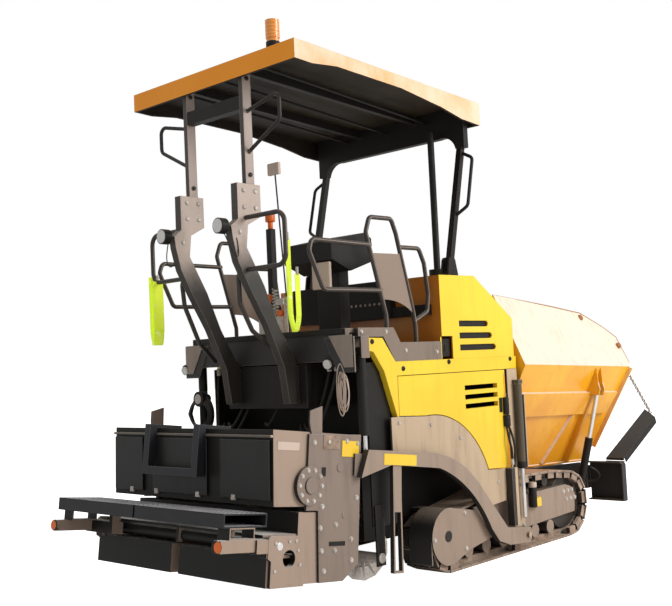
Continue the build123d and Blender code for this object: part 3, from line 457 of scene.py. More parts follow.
# ---------------------------------------- body panels
# Pressed sheet doors, beams and hood in gloss yellow, and grey fenders that sweep over
# the tracks. They hang on the frame by hinges and hexagon bolts.
def gloss_paint(name, colour, deep, pale, soiled=0.25, painted_highlight=None, rear=None):
    """Gloss enamel, deeper low down, with a painted pale highlight where it faces up or where
    a highlight mask puts it, and streaked with soil. Its rear may be painted dark as shade."""
    material, shader, place, facing = finish(name, {"Coat Weight": 0.12, "Coat Roughness": 0.12})
    rounded, edge = softened(facing)
    broad, fine = place.noise(1.6, 4, 0.55), place.noise(60, 4, 0.6)
    runs = place.noise(5.5, 6, 0.65, stretch=(3.0, 3.0, 0.3))
    shade = (broad * 0.8 + place.axis("Z") * 0.25).between(0.55, 1.0).blend(deep, colour)
    # painted highlight, where the given mask puts it
    if painted_highlight:
        shade = painted_highlight(facing, broad).blend(shade, pale)
    # painted shade on faces that look backwards
    if rear:
        shade = (facing.axis("X") * -1).between(0.8, 0.95).blend(shade, rear)
    streaked = (runs * 0.8 + broad * 0.3).between(0.52, 0.85)
    soil = (streaked + (edge * fine).between(0.3, 0.7)) * soiled
    shade = soil.blend(shade, tuple(part * 0.45 for part in deep))
    # painted highlight on faces that look up
    upward = facing.axis("Z").between(0.5, 1.0) * (broad + fine * 0.3).between(0.4, 0.9)
    shade = (upward * 0.35).blend(shade, pale)
    feed(shader, "Base Color", shade)
    feed(shader, "Roughness", 0.26 + fine * 0.06 + soil * 0.4)
    relief(shader, broad + fine * 0.1, 0.0008, rounded, 0.5)
    return material


def on_side(sign, *places):
    """Places on one side of the tractor, from places on its left side."""
    return [spot(x, sign * y, z) for x, y, z in places]


def blocks(corners, soft=0.004, turn=None):
    """Boxes with rounded edges, from pairs of opposite corners."""
    bm = bmesh.new()
    for a, b in corners:
        a, b = Vector(a), Vector(b)
        span = Vector(abs(part) for part in b - a)
        made = bmesh.ops.create_cube(bm, size=1.0, matrix=Matrix.Translation((a + b) / 2)
                                     @ Matrix.Diagonal((*span, 1)))
        rims = {edge for vert in made["verts"] for edge in vert.link_edges}
        rounded_off(bm, list(rims), min(soft, min(span) * 0.3))
    return closed(bm, "blocks", turn)


yellows = (0.90, 0.65, 0.036), (0.86, 0.54, 0.022), (0.92, 0.72, 0.15)     # plain, low down, painted highlight where it faces up
yellow_enamel = gloss_paint("yellow_enamel", *yellows)
orange_mid, orange_deep, cream_highlight = (0.94, 0.50, 0.012), (0.76, 0.31, 0.010), (0.86, 0.80, 0.72)
# the hopper's cream is a painted highlight on faces that tilt upwards
hopper_enamel = gloss_paint(
    "hopper_enamel", orange_mid, orange_deep, cream_highlight, 0.3,
    painted_highlight=lambda facing, broad: (facing.axis("Z") + broad * 0.2).between(0.22, 0.42) * 0.8)
cover([name for name in nodes if name.startswith(("side_door", "side_beams"))], yellow_enamel)
# the hood's rear faces are painted dark orange-brown as shade
cover(("hood",), gloss_paint("hood_enamel", *yellows, rear=(0.60, 0.19, 0.016)))
cover(("fenders",), pale_enamel)

panel_face = 0.885                      # how far out the panels' outer sides stand
beam_holes = ((0.418, 1.618), (-0.45, 1.618), (-1.02, 1.585), (-1.36, 1.79))
fender_holes = ((-1.10, 1.19), (-0.72, 1.15), (-0.35, 1.02), (0.14, 0.62))
slot_heights, slot_half, thin_edge = (1.918, 1.822, 1.727), 0.034, 0.0008
for side, sign in sides:
    face, outward, door = sign * panel_face, (0, sign, 0), f"side_door_{side}"
    bolts(f"beam_bolts_{side}", holes(face, beam_holes), outward, plate_head,
          black_enamel)
    bolts(f"fender_bolts_{side}", holes(face, fender_holes), outward, small_head)
    # the doors' turned edges, in orange, and their black finger pulls
    edge_ends = on_side(sign, (0.302, 0.8845, 0.74), (0.3225, 0.8865, 1.50))
    pull_ends = on_side(sign, (0.22, 0.884, 1.18), (0.262, 0.8895, 1.30))
    fit(f"door_edge_{side}", blocks([edge_ends], soft=thin_edge), hopper_enamel, door)
    fit(f"door_pull_{side}", blocks([pull_ends], soft=0.002), black_enamel, body=door)
    # black gauze behind the hood's slots, and rubber in the notch behind the hood's foot
    fit(f"hood_gauze_{side}", blocks([
        on_side(sign, (-0.31, 0.868, z - slot_half), (0.235, 0.866, z + slot_half))
        for z in slot_heights], soft=thin_edge), black_enamel)
    fit(f"notch_box_{side}", blocks([
        on_side(sign, (-0.50, 0.862, 1.66), (-0.392, 0.84, 1.80)),
        on_side(sign, (-0.47, 0.87, 1.70), (-0.43, 0.86, 1.76))], soft=0.005), black_enamel)


# ---------------------------------------- platform and controls
# The driver's deck with its console, seat and switch cabinet, welded from sheet in grey
# and black enamel with pale worn edges. The deck is bolted to the chassis's rear wall.
def hose(runs, radius, smooth=True):
    """Round tubes along smooth lines, or straight ones, through rows of guide points."""
    curve = bpy.data.curves.new("hose", "CURVE")
    curve.dimensions = "3D"
    curve.bevel_depth, curve.bevel_resolution, curve.resolution_u = radius, 3, 8
    curve.use_fill_caps = True
    for row in runs:
        line = curve.splines.new("NURBS" if smooth else "POLY")
        line.points.add(len(row) - 1)
        for point, place in zip(line.points, row):
            point.co = (*place, 1)
        if smooth:
            line.order_u, line.use_endpoint_u = 3, True
    thing = bpy.data.objects.new("hose", curve)
    bpy.context.scene.collection.objects.link(thing)
    mesh = settled(thing)
    for face in mesh.polygons:
        face.use_smooth = True
    return mesh


# the deck's ends and underside are painted dark as shade
cover(("platform",), machine_paint("deck_grey", (0.22, 0.165, 0.125), dust=(0.40, 0.32, 0.26),
                                   worn=(0.50, 0.44, 0.38), ends=(0.020, 0.018, 0.016),
                                   underside=shadow, dirt=0.6))
cover(("control_console", "instrument_wall"), black_enamel)
beige = machine_paint("beige_vinyl", (0.62, 0.48, 0.39), dust=(0.6, 0.5, 0.4), sheen=0.6, chips=0.2)
red_knob = machine_paint("orange_knob", (0.85, 0.16, 0.02), dust=(0.8, 0.3, 0.12), sheen=0.3,
                         dirt=0.2, chips=0.1)
fit("document_box", blocks([(spot(-1.42, -0.555, 2.20), spot(-1.391, -0.375, 2.40))],
                           soft=0.008), beige)
vent, vent_rise, vent_pitch, vent_count = 0.016, 0.004, 0.05, 12
bolts("cabinet_vents", [spot(-0.611, -0.34 + vent_pitch * step, 2.11) for step in range(vent_count)],
      (-1, 0, 0), vent, beige, rise=vent_rise)

# a red-topped speed column, and the remote control's receiver on its stalk; both are bedded
# a millimetre into the sheet of the lower floor and of the deck
floor_top, deck_top = 1.759, 1.889
fit("speed_column", blocks([(spot(-1.03, 0.455, floor_top), spot(-0.97, 0.515, 2.80))],
                           soft=0.006), black_enamel)
knob = [spot(-1.0, 0.485, z) for z in (2.80, 2.86, 2.925)]
fit("column_knob", drums([(*knob[:2], 0.022), (*knob[1:], 0.042)]), red_knob)
fit("receiver_stalk", hose([[spot(-1.565, -0.262, deck_top), spot(-1.60, -0.213, 3.10)]],
                           radius=0.006, smooth=False), black_enamel)
fit("receiver_box", blocks([(spot(-1.62, -0.27, 3.08), spot(-1.59, -0.15, 3.17))], soft=0.006),
    beige)
fit("deck_trim", blocks([(spot(-1.604, -0.82, 1.852), spot(-1.589, 0.82, 1.892))]), black_enamel)
skirt_holes = ((-1.47, 1.86), (-1.20, 1.86), (-0.98, 1.72), (-0.60, 1.70))
for side, sign in sides:
    bolts(f"skirt_bolts_{side}", holes(sign * panel_face, skirt_holes), (0, sign, 0), small_head)


# ---------------------------------------- posts, canopy, lamps and exhaust
# Square steel posts stand in goose-neck arms and carry a moulded roof, orange outside
# and black within. An amber beacon and two work lamps are bolted on.
def roof_paint(name, centre_x):
    """Orange moulding with a painted pale highlight on its sides and top, and black where it faces
    inwards.
    """
    material, shader, place, facing = finish(name, {"Specular IOR Level": 0.3})
    broad, fine = place.noise(1.8, 5, 0.6), place.noise(50, 4, 0.6)
    out_x = facing.axis("X") * (place.axis("X") - centre_x)
    out_y = facing.axis("Y") * place.axis("Y")
    inner = (out_x * -1).between(0.2, 0.5) + (out_y * -1).between(0.2, 0.5)
    inner = (inner + (facing.axis("Z") * -1).between(0.5, 0.7)).between(0.4, 0.6)
    # painted highlight: the sides and top turn pale cream
    painted_highlight = (abs(facing.axis("Y")).between(0.5, 0.8) * 0.72
                + facing.axis("Z").between(0.5, 0.9) * 0.55)
    shade = broad.blend((0.90, 0.29, 0.007), (0.97, 0.36, 0.020))
    shade = (painted_highlight * broad.between(0.15, 0.6)).blend(shade, (0.82, 0.77, 0.62))
    black = (broad + fine * 0.3).between(0.5, 0.9).blend((0.014, 0.010, 0.007), (0.036, 0.026, 0.018))
    feed(shader, "Base Color", inner.blend(shade, black))
    feed(shader, "Roughness", 0.35 + fine * 0.1 + inner * 0.25)
    relief(shader, broad, 0.002, softened(facing)[0], 0.5)
    return material


def below_bend(place, facing, broad):
    """One on the arms' feet, with an uneven edge below the bend."""
    return 1 - (place.axis("Z") + broad * 0.5).between(2.45, 2.85)


def outer_side(place, facing, broad):
    """One on the posts' outer sides."""
    return abs(place.axis("Y")).between(0.359, 0.362)


canopy_low, canopy_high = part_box("canopy")
cover(("canopy",), roof_paint("roof_moulding", (canopy_low[0] + canopy_high[0]) / 2))
# the arms' and posts' ends are painted dark as shade
post_coat = dict(dust=(0.45, 0.36, 0.28), worn=(0.45, 0.38, 0.32), ends=(0.05, 0.043, 0.037))
cover(("post_brackets",), machine_paint("arm_paint", (0.50, 0.39, 0.325), **post_coat, dirt=0.4,
                                        chips=0.9, patch=(below_bend, (0.034, 0.029, 0.023))))
cover(("rear_posts",), machine_paint("post_paint", (0.42, 0.33, 0.28), **post_coat, dirt=0.3,
                                     patch=(outer_side, (0.022, 0.018, 0.015))))
cover(("front_posts", "canopy_frame", "exhaust_stack"), black_enamel)
fit("roof_ribs", hose([[spot(-1.92, y, 3.79), spot(-1.0, y, 3.735), spot(0.05, y, 3.655)]
                       for y in (-0.45, 0.0, 0.45)], radius=0.012), black_enamel)
post_side, arm_half, post_half = 0.317, 0.033, 0.027
arm_holes = ((-2.05, 2.90), (-1.94, 2.90), (-2.05, 2.78), (-1.94, 2.78), (-2.10, 2.60))
post_holes = ((-1.97, 3.02), (-1.97, 3.72))
for side, sign in sides:
    for flank in (-1, 1):
        name = f"arm_bolts_{side}_{'outer' if flank == sign else 'inner'}"
        bolts(name, holes(sign * post_side + flank * arm_half, arm_holes), (0, flank, 0), plate_head)
    bolts(f"post_bolts_{side}", holes(sign * post_side - post_half, post_holes), (0, -1, 0),
          small_head, black_enamel)


def slab(outline, through, soft, turn=None):
    """A plate of that outline, as thick as the vector through, with rounded edges."""
    bm = bmesh.new()
    face = bm.faces.new([bm.verts.new(point) for point in outline])
    grown = bmesh.ops.extrude_face_region(bm, geom=[face])["geom"]
    bmesh.ops.translate(bm, vec=Vector(through), verts=[
        item for item in grown if isinstance(item, bmesh.types.BMVert)])
    bmesh.ops.recalc_face_normals(bm, faces=bm.faces)
    rounded_off(bm, list(bm.edges), soft)
    return closed(bm, "slab", turn)


def waves(wire, crowding):
    """Waves along a wire, between nought and one. The crowding is in radians to the metre."""
    return (wire * crowding).maths("SINE", 0.0) * 0.5 + 0.5


def amber(name):
    """Clear amber plastic with fine moulded rings."""
    material, shader, place, facing = finish(name, {"Coat Weight": 0.6})
    bands = waves(place.axis("Z"), 240)
    shade = (bands * 0.5 + place.noise(30) * 0.4).blend((0.80, 0.20, 0.012), (0.92, 0.42, 0.06))
    feed(shader, "Base Color", shade)
    feed(shader, "Roughness", 0.18 + bands * 0.15)
    relief(shader, bands, 0.002, softened(facing)[0])
    return material


def fluted_glass(name):
    """Pale glass with upright flutes."""
    material, shader, place, facing = finish(name, {"Coat Weight": 0.8, "Coat Roughness": 0.04})
    flutes = waves(place.axis("Y"), 700)
    feed(shader, "Base Color", flutes.blend((0.62, 0.60, 0.57), (0.82, 0.80, 0.78)))
    feed(shader, "Roughness", 0.1 + flutes * 0.15)
    relief(shader, flutes, 0.0015, softened(facing)[0])
    return material


def beside(at, *steps):
    """Places at those steps from one place."""
    return [at + Vector(step) for step in steps]


cover(("beacon",), amber("amber_moulding"))
cover(("work_lights",), black_enamel)
low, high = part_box("beacon")
foot = Vector(((low[0] + high[0]) / 2, (low[1] + high[1]) / 2, low[2]))
fit("beacon_foot", drums([(*beside(foot, (0, 0, 0), (0, 0, 0.045)), 0.0495)]), black_enamel)
lamp_glass = fluted_glass("lamp_glass")
plate_corners = ((0.692, 1.843), (0.915, 1.843), (0.915, 1.615), (0.83, 1.615))
plate_back, plate_thick = -1.604, 0.004
deck_plate = machine_paint("deck_plate", (0.30, 0.235, 0.19), dust=(0.4, 0.33, 0.27))
for side, sign in sides:
    at = spot(-2.275, sign * post_side, 2.635)
    fit(f"lamp_lens_{side}", drums([(*beside(at, (0, 0, 0), (-0.005, 0, 0)), 0.050)]),
        lamp_glass)
    # a thin wire looped from the lamp to the arm
    fit(f"lamp_wire_{side}", hose([beside(
        at, (0.06, 0, -0.055), (0.07, sign * 0.05, -0.16), (0.12, sign * 0.06, -0.23),
        (0.16, sign * 0.035, -0.17), (0.14, sign * 0.034, -0.08))], radius=0.004), black_enamel)
    # the rear lamps stand at uneven distances from the middle
    at = spot(-1.60, 0.93 if sign > 0 else -0.67, 1.645)
    fit(f"rear_lamp_{side}", drums([(*beside(at, (0, 0, 0), (0.06, 0, 0.02)), 0.046)]), black_enamel)
    fit(f"rear_lamp_lens_{side}", drums([
        (*beside(at, (-0.02, 0, -0.006), (0.004, 0, 0.001)), 0.034)]), lamp_glass)
    fit(f"deck_plate_{side}", slab(on_side(sign, *((plate_back, y, z) for y, z in plate_corners)),
                                   (-plate_thick, 0, 0), soft=0.001), deck_plate)


# ---------------------------------------- rails, straps and handrails
# Bent steel tube in satin black, rubbed to bare metal where hands hold it and with a
# painted highlight where it faces straight to the side, and two loops of yellow-green
# webbing that hang from the rails by steel clips.
def lit_flat_side(place, facing, broad):
    """One where the tube faces straight to the side, where a pale highlight is painted."""
    return abs(facing.axis("Y")).between(0.985, 0.997)


def webbing(name):
    """Yellow-green woven nylon that glows a little with painted light of its own colour, and paler
    where it is worn.
    """
    # painted glow: the webbing emits its own colour, though it is no lamp
    material, shader, place, facing = finish(name, {"Sheen Weight": 0.3, "Emission Strength": 0.4})
    weave, cross = waves(place.axis("Z"), 900), waves(place.axis("Y"), 1400)
    shade = (weave * 0.6 + cross * 0.3).blend((0.50, 0.66, 0.015), (0.78, 0.90, 0.06))
    shade = place.noise(18, 5).between(0.6, 0.8).blend(shade, (0.75, 0.80, 0.45))
    feed(shader, "Base Color", shade)
    feed(shader, "Emission Color", shade)
    feed(shader, "Roughness", 0.75 + weave * 0.15)
    relief(shader, weave + cross, 0.001, facing)
    return material


def strap(line, width, thick=0.004):
    """Flat webbing along a line of points, its width across the machine's length."""
    bm = bmesh.new()
    rings = [[bm.verts.new(place + Vector((along * width / 2, side * thick / 2, 0)))
              for along, side in ((-1, -1), (1, -1), (1, 1), (-1, 1))] for place in line]
    for a, b in zip(rings, rings[1:]):
        for number in range(4):
            following = (number + 1) % 4
            bm.faces.new((a[number], a[following], b[following], b[number]))
    bm.faces.new(rings[0][::-1])
    bm.faces.new(rings[-1])
    bmesh.ops.recalc_face_normals(bm, faces=bm.faces)
    return closed(bm, "strap")


def hanging(top, drop, spread, back, count=26):
    """Points of a loop that hangs from top, down by drop and up again by back of it, and that
    is spread sideways at its foot."""
    lowest, turn_start, turn_end = 0.55, 0.4, 0.7       # as shares of the line's points
    line = []
    for step in range(count + 1):
        t = step / count
        if t <= lowest:
            z = -drop * (t / lowest) ** 0.9
        else:
            z = -drop + drop * back * (t - lowest) / (1 - lowest)
        turned = min(1.0, max(0.0, (t - turn_start) / (turn_end - turn_start)))
        line.append(top + Vector((0, -spread * (0.5 - 0.5 * math.cos(math.pi * turned)), z)))
    return line


# the rails' pale patch is a painted highlight on faces that look straight to the side
cover(("guard_rails", "rear_handrails"), machine_paint(
    "rail_enamel", (0.045, 0.036, 0.030), dust=(0.30, 0.25, 0.20), worn=(0.42, 0.37, 0.32),
    dirt=0.35, chips=0.9, sheen=0.3, patch=(lit_flat_side, (0.27, 0.195, 0.145))))
lime = webbing("lime_webbing")
clips = []
for name, top, drop, spread, back, width in (
        ("right", spot(-1.66, -0.375, 2.575), 0.70, 0.085, 0.62, 0.05),
        ("left", spot(-2.04, 0.735, 2.38), 0.54, 0.05, 0.93, 0.095)):
    line = hanging(top, drop, spread, back)
    fit(f"safety_strap_{name}", strap(line, width), lime)
    clips += [(*beside(end, (0, 0, -0.01), (0, 0, 0.05)), 0.011) for end in (line[0], line[-1])]
fit("strap_clips", drums(clips), bright_steel)


# ---------------------------------------- hopper, flaps and push beam
# Two pressed steel wings hinged on a grey base and moved by chromed cylinders. Chains lift
# the black front flaps with them. The lorry's wheels run on the push beam's rollers.
def plating(name):
    """Hard chrome with faint rings from grinding."""
    material, shader, place, facing = finish(name, {"Metallic": 1.0})
    rings = place.noise(120, 3, 0.5, stretch=(1, 1, 0.1))
    feed(shader, "Base Color", rings.blend((0.66, 0.65, 0.63), (0.82, 0.82, 0.83)))
    feed(shader, "Roughness", 0.14 + rings * 0.16)
    relief(shader, rings, 0.0003, facing)
    return material


hard_chrome = plating("hard_chrome")
cover(("hopper_base",), grey_enamel)
cover(("push_roller_left", "push_roller_right"), shoe_steel)
cover(("wing_left", "wing_right"), hopper_enamel)
cover(("wing_barrel_left", "wing_barrel_right", "front_flap_left", "front_flap_right",
       "lift_barrels"), black_enamel)
cover(("wing_rod_left", "wing_rod_right", "lift_rods"), hard_chrome)
cover(("push_beam",), machine_paint("beam_black", (0.028, 0.026, 0.024), dust=(0.30, 0.25, 0.2),
                                    worn=(0.30, 0.27, 0.24), dirt=0.45))

# chain of short links: alternate links stand at a right angle to each other
link_pitch, link_wire, link_inset, link_oval = 0.034, 0.0042, 0.010, (1.35, 0.8, 1.0)
link_tree, (points, pitch, wire_size, paint) = repeating(
    "chain_links", (("Pitch", link_pitch), ("Wire", link_wire)))
ring, wire = (points.node("GeometryNodeCurvePrimitiveCircle", {"mode": "RADIUS"}, {
    "Resolution": count, "Radius": radius}) for count, radius in ((10, pitch * 0.5), (6, wire_size)))
oval = points.node("GeometryNodeTransform", {}, {"Geometry": ring, "Scale": link_oval})
link = points.node("GeometryNodeCurveToMesh", {}, {"Curve": oval, "Profile Curve": wire})
strand = points.node("GeometryNodeMeshToCurve", {}, {"Mesh": points})
beads = points.node("GeometryNodeCurveToPoints", {"mode": "LENGTH"}, {"Curve": strand, "Length": pitch})
flat = points.node("FunctionNodeAlignRotationToVector", {"axis": "X"}, {
    "Vector": Wire(beads.socket.node.outputs["Tangent"])})
quarter = points.node("ShaderNodeCombineXYZ", {}, {
    "X": (points.node("GeometryNodeInputIndex") % 2.0) * (math.pi / 2)})
twist = points.node("FunctionNodeEulerToRotation", {}, {0: quarter})
crossed = points.node("FunctionNodeRotateRotation", {"rotation_space": "LOCAL"}, {0: flat, 1: twist})
deliver(link_tree, points.node("GeometryNodeInstanceOnPoints", {}, {
    "Points": beads, "Instance": link, "Rotation": crossed}), paint)

latch_brown = machine_paint("latch_brown", (0.34, 0.14, 0.035), dust=(0.5, 0.3, 0.15), sheen=0.5)
front_head, front_pitch = 0.024, 0.1
for side, sign in sides:
    stand_in = f"flap_chain_{side}"
    low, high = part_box(stand_in)
    outer, inner = (high[1], low[1]) if sign > 0 else (low[1], high[1])
    top = Vector((low[0] + link_inset, outer - sign * link_inset, high[2] - link_inset))
    foot = Vector((high[0] - link_inset, inner + sign * link_inset, low[2] + link_inset))
    mesh = field(link_tree, [top, foot], None, shoe_steel, path=[(0, 1)])
    chain = fit(f"lift_chain_{side}", mesh, shoe_steel, stand_in)
    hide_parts(stand_in)
    # round latches on the wing's front, and a brown beading along its brim
    fit(f"wing_latches_{side}", drums([
        (*on_side(sign, (1.95, 0.712, 1.975), (1.95, 0.739, 1.988)), 0.030),
        (*on_side(sign, (2.43, 0.852, 1.69), (2.43, 0.879, 1.703)), 0.030)]),
        latch_brown, f"hopper_wing_{side}")
    brim = on_side(sign, (0.575, 0.648, 2.180), (1.461, 0.680, 2.090), (1.989, 0.700, 2.026),
                   (2.310, 0.760, 1.888), (2.487, 0.810, 1.781), (2.489, 0.935, 1.520))
    fit(f"wing_brim_{side}", hose([brim], radius=0.007, smooth=False), latch_brown,
        f"hopper_wing_{side}")
    bend = on_side(sign, (1.86, 0.79, 0.55), (1.93, 0.85, 0.50), (1.96, 0.80, 0.42),
                   (1.90, 0.70, 0.40), (1.84, 0.62, 0.42))
    fit(f"wing_hose_{side}", hose([bend], radius=0.010), black_enamel)
    bolts(f"beam_bolts_front_{side}", on_side(sign, *(
        (2.275, 0.60 + front_pitch * step, z) for step in range(4) for z in (0.23, 0.50))),
        (1, 0, 0), front_head)


# ---------------------------------------- tow columns and lubrication
# Guide posts on the machine's flanks hold the tow pins and levelling cylinders. Beside
# the right one stands the yellow pump that greases the bearings, with its black tank.
def shaded_behind_rail(place, facing, broad):
    """One behind the column's front rail, where shade is painted."""
    return 1 - place.axis("X").between(datum + 0.298, datum + 0.304)


# the columns' ends and all behind the front rail are painted dark as shade
cover(("tow_columns",), machine_paint("column_grey", pale_grey, **pale_coat, dirt=0.5,
                                      patch=(shaded_behind_rail, (0.028, 0.022, 0.018))))
cover(("levelling_cylinders",), machine_paint("ram_grey", (0.09, 0.07, 0.045),
                                              dust=(0.3, 0.22, 0.15), sheen=0.4))
column_holes = ((0.470, 0.16), (0.470, 0.22), (0.470, 0.56), (0.470, 0.62))
for side, sign in sides:
    foot = spot(0.445, sign * 0.929, 0.0)
    fit(f"levelling_rod_{side}", drums([(*beside(foot, (0, 0, 0.292), (0, 0, 0.712)), 0.0185)]),
        hard_chrome)
    fit(f"levelling_gland_{side}", drums([(*beside(foot, (0, 0, 0.70), (0, 0, 0.76)), 0.0345)]),
        black_enamel)
    # a valve hangs on the column, with two hoses and a nozzle below it
    valve = on_side(sign, *((0.30, 0.895, z) for z in (1.30, 1.16, 1.15, 1.06)))
    fit(f"column_valve_{side}", drums([(*valve[:2], 0.028), (*valve[2:], 0.034)]), black_enamel)
    fit(f"column_hoses_{side}", hose([
        on_side(sign, (0.29, 0.90, 1.06), (0.27, 0.93, 0.95), (0.31, 0.93, 0.86), (0.303, 0.93, 0.79)),
        on_side(sign, (0.32, 0.90, 1.06), (0.36, 0.935, 0.92), (0.33, 0.925, 0.72), (0.36, 0.905, 0.60))
    ], radius=0.009), black_enamel)
    fit(f"column_nozzle_{side}", drums([
        (*on_side(sign, (0.303, 0.93, 0.79), (0.303, 0.93, 0.74)), 0.013)]),
        bright_steel)
    bolts(f"column_bolts_{side}", holes(sign * 0.90, column_holes), (0, sign, 0), small_head)
pump = spot(0.77, -0.84, 0)
fit("grease_pump", blocks([beside(pump, (-0.04, -0.03, 0.33), (0.05, 0.03, 0.41))], soft=0.006),
    yellow_enamel)
fit("grease_tank", drums([(*beside(pump, (-0.04, 0, 0.33), (-0.04, 0, 0.50)), 0.034)]), black_enamel)
fit("grease_cap", drums([(*beside(pump, (-0.04, 0, 0.50), (-0.04, 0, 0.545)), 0.036)]),
    beige)


# ---------------------------------------- screed
# The heated floating screed on its two arched arms: grey housings with painted near-black
# shade on all but their sides, grey end plates with bright bolts, ribbed footboards, and a
# tubular step behind.
tow_pin, = (joint["pos_m"] for joint in frame["record"]["behaviour"]["joints"]
            if joint["name"] == "screed_lift")
rest_angle = math.radians(7.3)          # the screed hangs from the tow pin at this angle
lift = Matrix.Translation(tow_pin) @ Matrix.Rotation(rest_angle, 4, "Y")


def flipped(sign, *places):
    """Places on one side, from places on the left one, still level and from the tow pin."""
    return [(x, sign * y, z) for x, y, z in places]


def hung(sign, *places):
    """The same places, once the screed hangs at its angle."""
    return [lift @ Vector(place) for place in flipped(sign, *places)]


# the end plates' ends are painted dark as shade
plate_grey = machine_paint("plate_grey", (0.25, 0.185, 0.145), dust=(0.36, 0.28, 0.22),
                           worn=(0.50, 0.43, 0.37), ends=black_end_shade, dirt=0.45)
panel_black = machine_paint("panel_black", (0.013, 0.012, 0.011), dust=(0.06, 0.05, 0.045),
                            worn=(0.30, 0.27, 0.24), dirt=0.4, chips=0.8, sheen=0.36)
cover(("tow_arms",), grey_enamel)
cover(("screed_end_plates",), plate_grey)
# the housings: grey sides, with painted near-black shade on every other face and underneath
cover(("screed_cover", "screed_frame", "extension_left", "extension_right"), machine_paint(
    "screed_grey_shaded", (0.40, 0.29, 0.22), dust=(0.16, 0.13, 0.11), worn=(0.34, 0.29, 0.25),
    ends=shadow, underside=(0.010, 0.009, 0.008), dirt=0.3, chips=0.5,
    top=(0.74, 0.70, 0.64), gloss=0.2))
cover(("step_frame",), machine_paint("step_blue_black", (0.014, 0.015, 0.018),
                                     dust=(0.16, 0.12, 0.09), worn=(0.25, 0.23, 0.22), dirt=0.6))

# the cover's three leaning doors, their latches, and a ledge above them
foot_x, foot_z, head_x, head_z = -2.8765, 0.275, -2.9115, 0.66
door_thick, latch_half = 0.012, 0.02
for number, (y0, y1) in enumerate(((0.50, 0.84), (-0.22, 0.38), (-0.84, -0.36))):
    outline = [(foot_x, y0, foot_z), (foot_x, y1, foot_z), (head_x, y1, head_z), (head_x, y0, head_z)]
    fit(f"cover_panel_{number + 1}", slab(outline, (-door_thick, 0, 0), soft=0.004, turn=lift),
        panel_black, body="screed")
fit("cover_latches", blocks([
    ((-2.892, y - latch_half, 0.262), (-2.872, y + latch_half, 0.30))
    for y in (0.63, 0.34, -0.12, -0.49)], turn=lift), bright_steel, "screed")
fit("cover_ledge", blocks([((-2.925, -0.86, 0.676), (-2.895, 0.86, 0.692))], turn=lift),
    pale_enamel, "screed")

plate_side, ring_side, guide_side = 0.880, 0.892, 0.925     # how far out each row of bolts stands
ring_x, ring_z, ring_radius, ring_count = -2.568, 0.376, 0.104, 10
plate_holes = ((-2.54, 0.66), (-2.40, 0.67), (-2.22, 0.68), (-2.11, 0.67), (-2.10, 0.30),
               (-2.44, 0.24), (-2.45, 0.10), (-2.43, -0.05), (-2.40, -0.18), (-2.14, 0.02),
               (-2.13, -0.12), (-2.30, -0.05), (-2.30, 0.12))
guide_holes = ((-2.90, 0.02), (-2.72, 0.03), (-2.90, -0.15), (-2.68, -0.12), (-2.78, 0.03),
               (-2.70, -0.03))
# shallow plates on the end plate, the arm and the cover: opposite corners, rounding and finish
shallow = (
    ("tread_patch", (-2.455, 0.8805, 0.62), (-2.295, 0.884, 0.715), 0.001, shoe_steel, "grey_paint"),
    ("blank_plate", (-2.27, 0.8805, 0.575), (-2.095, 0.884, 0.685), 0.001, yellow_enamel,
     "yellow_paint"),
    ("arm_plate", (-1.90, 0.950, 0.53), (-1.53, 0.9525, 0.61), 0.001, yellow_enamel, "yellow_paint"),
    ("cover_label", (-2.86, 0.8605, 0.60), (-2.66, 0.862, 0.655), 0.0005, beige, "grey_paint"))
for side, sign in sides:
    outward, body = (0, sign, 0), f"screed_extension_{side}"
    ring = [math.tau * step / ring_count for step in range(ring_count)]
    bolts(f"end_plate_bolts_{side}", hung(sign, *(
        (ring_x + ring_radius * math.cos(turn), ring_side, ring_z + ring_radius * math.sin(turn))
        for turn in ring)), outward, small_head, body="screed")
    bolts(f"end_plate_studs_{side}", hung(sign, *((x, plate_side, z) for x, z in plate_holes)),
          outward, plate_head, body="screed")
    fit(f"end_plate_hub_{side}", drums([
        (*hung(sign, (ring_x, 0.891, ring_z), (ring_x, 0.903, ring_z)), 0.055),
        (*hung(sign, (-2.28, 0.879, 0.50), (-2.28, 0.886, 0.50)), 0.030),
        (*hung(sign, (-2.22, 0.879, 0.18), (-2.22, 0.884, 0.18)), 0.022)]),
        plate_grey, "screed")
    fit(f"end_plate_slots_{side}", blocks([
        flipped(sign, (-2.46, 0.8795, 0.44), (-2.42, 0.883, 0.50)),
        flipped(sign, (-2.36, 0.8795, -0.02), (-2.20, 0.883, 0.01))], soft=0.001, turn=lift),
        black_enamel, body="screed")
    for name, near, far, soft, material, slot in shallow:
        fit(f"{name}_{side}", blocks([flipped(sign, near, far)], soft, lift), material, "screed")
    bolts(f"extension_bolts_{side}", hung(sign, *((x, guide_side, z) for x, z in guide_holes)),
          outward, small_head, body=body)
    # a red cap closes the end of the step's arm, and a bright rod ends in the guide
    fit(f"arm_cap_{side}", drums([
        (*hung(sign, (-3.3535, 0.90, 0.009), (-3.3485, 0.90, 0.009)), 0.036)]), red_knob, body=body)
    fit(f"guide_end_{side}", drums([
        (*hung(sign, (-2.86, guide_side, 0.0), (-2.86, 0.931, 0.0)), 0.026)]),
        hard_chrome, body)

# raised studs on the footboards' tops, in staggered rows
stud_length, stud_breadth, stud_height = 0.022, 0.007, 0.005
stud_tree, (points, length, breadth, paint) = repeating(
    "tread_studs", (("Length", stud_length), ("Breadth", stud_breadth)))
stud = points.node("GeometryNodeMeshCube", {}, {"Size": points.node("ShaderNodeCombineXYZ", {}, {
    "X": breadth, "Y": length, "Z": stud_height})})
deliver(stud_tree, points.node("GeometryNodeInstanceOnPoints", {}, {
    "Points": points, "Instance": stud}), paint)


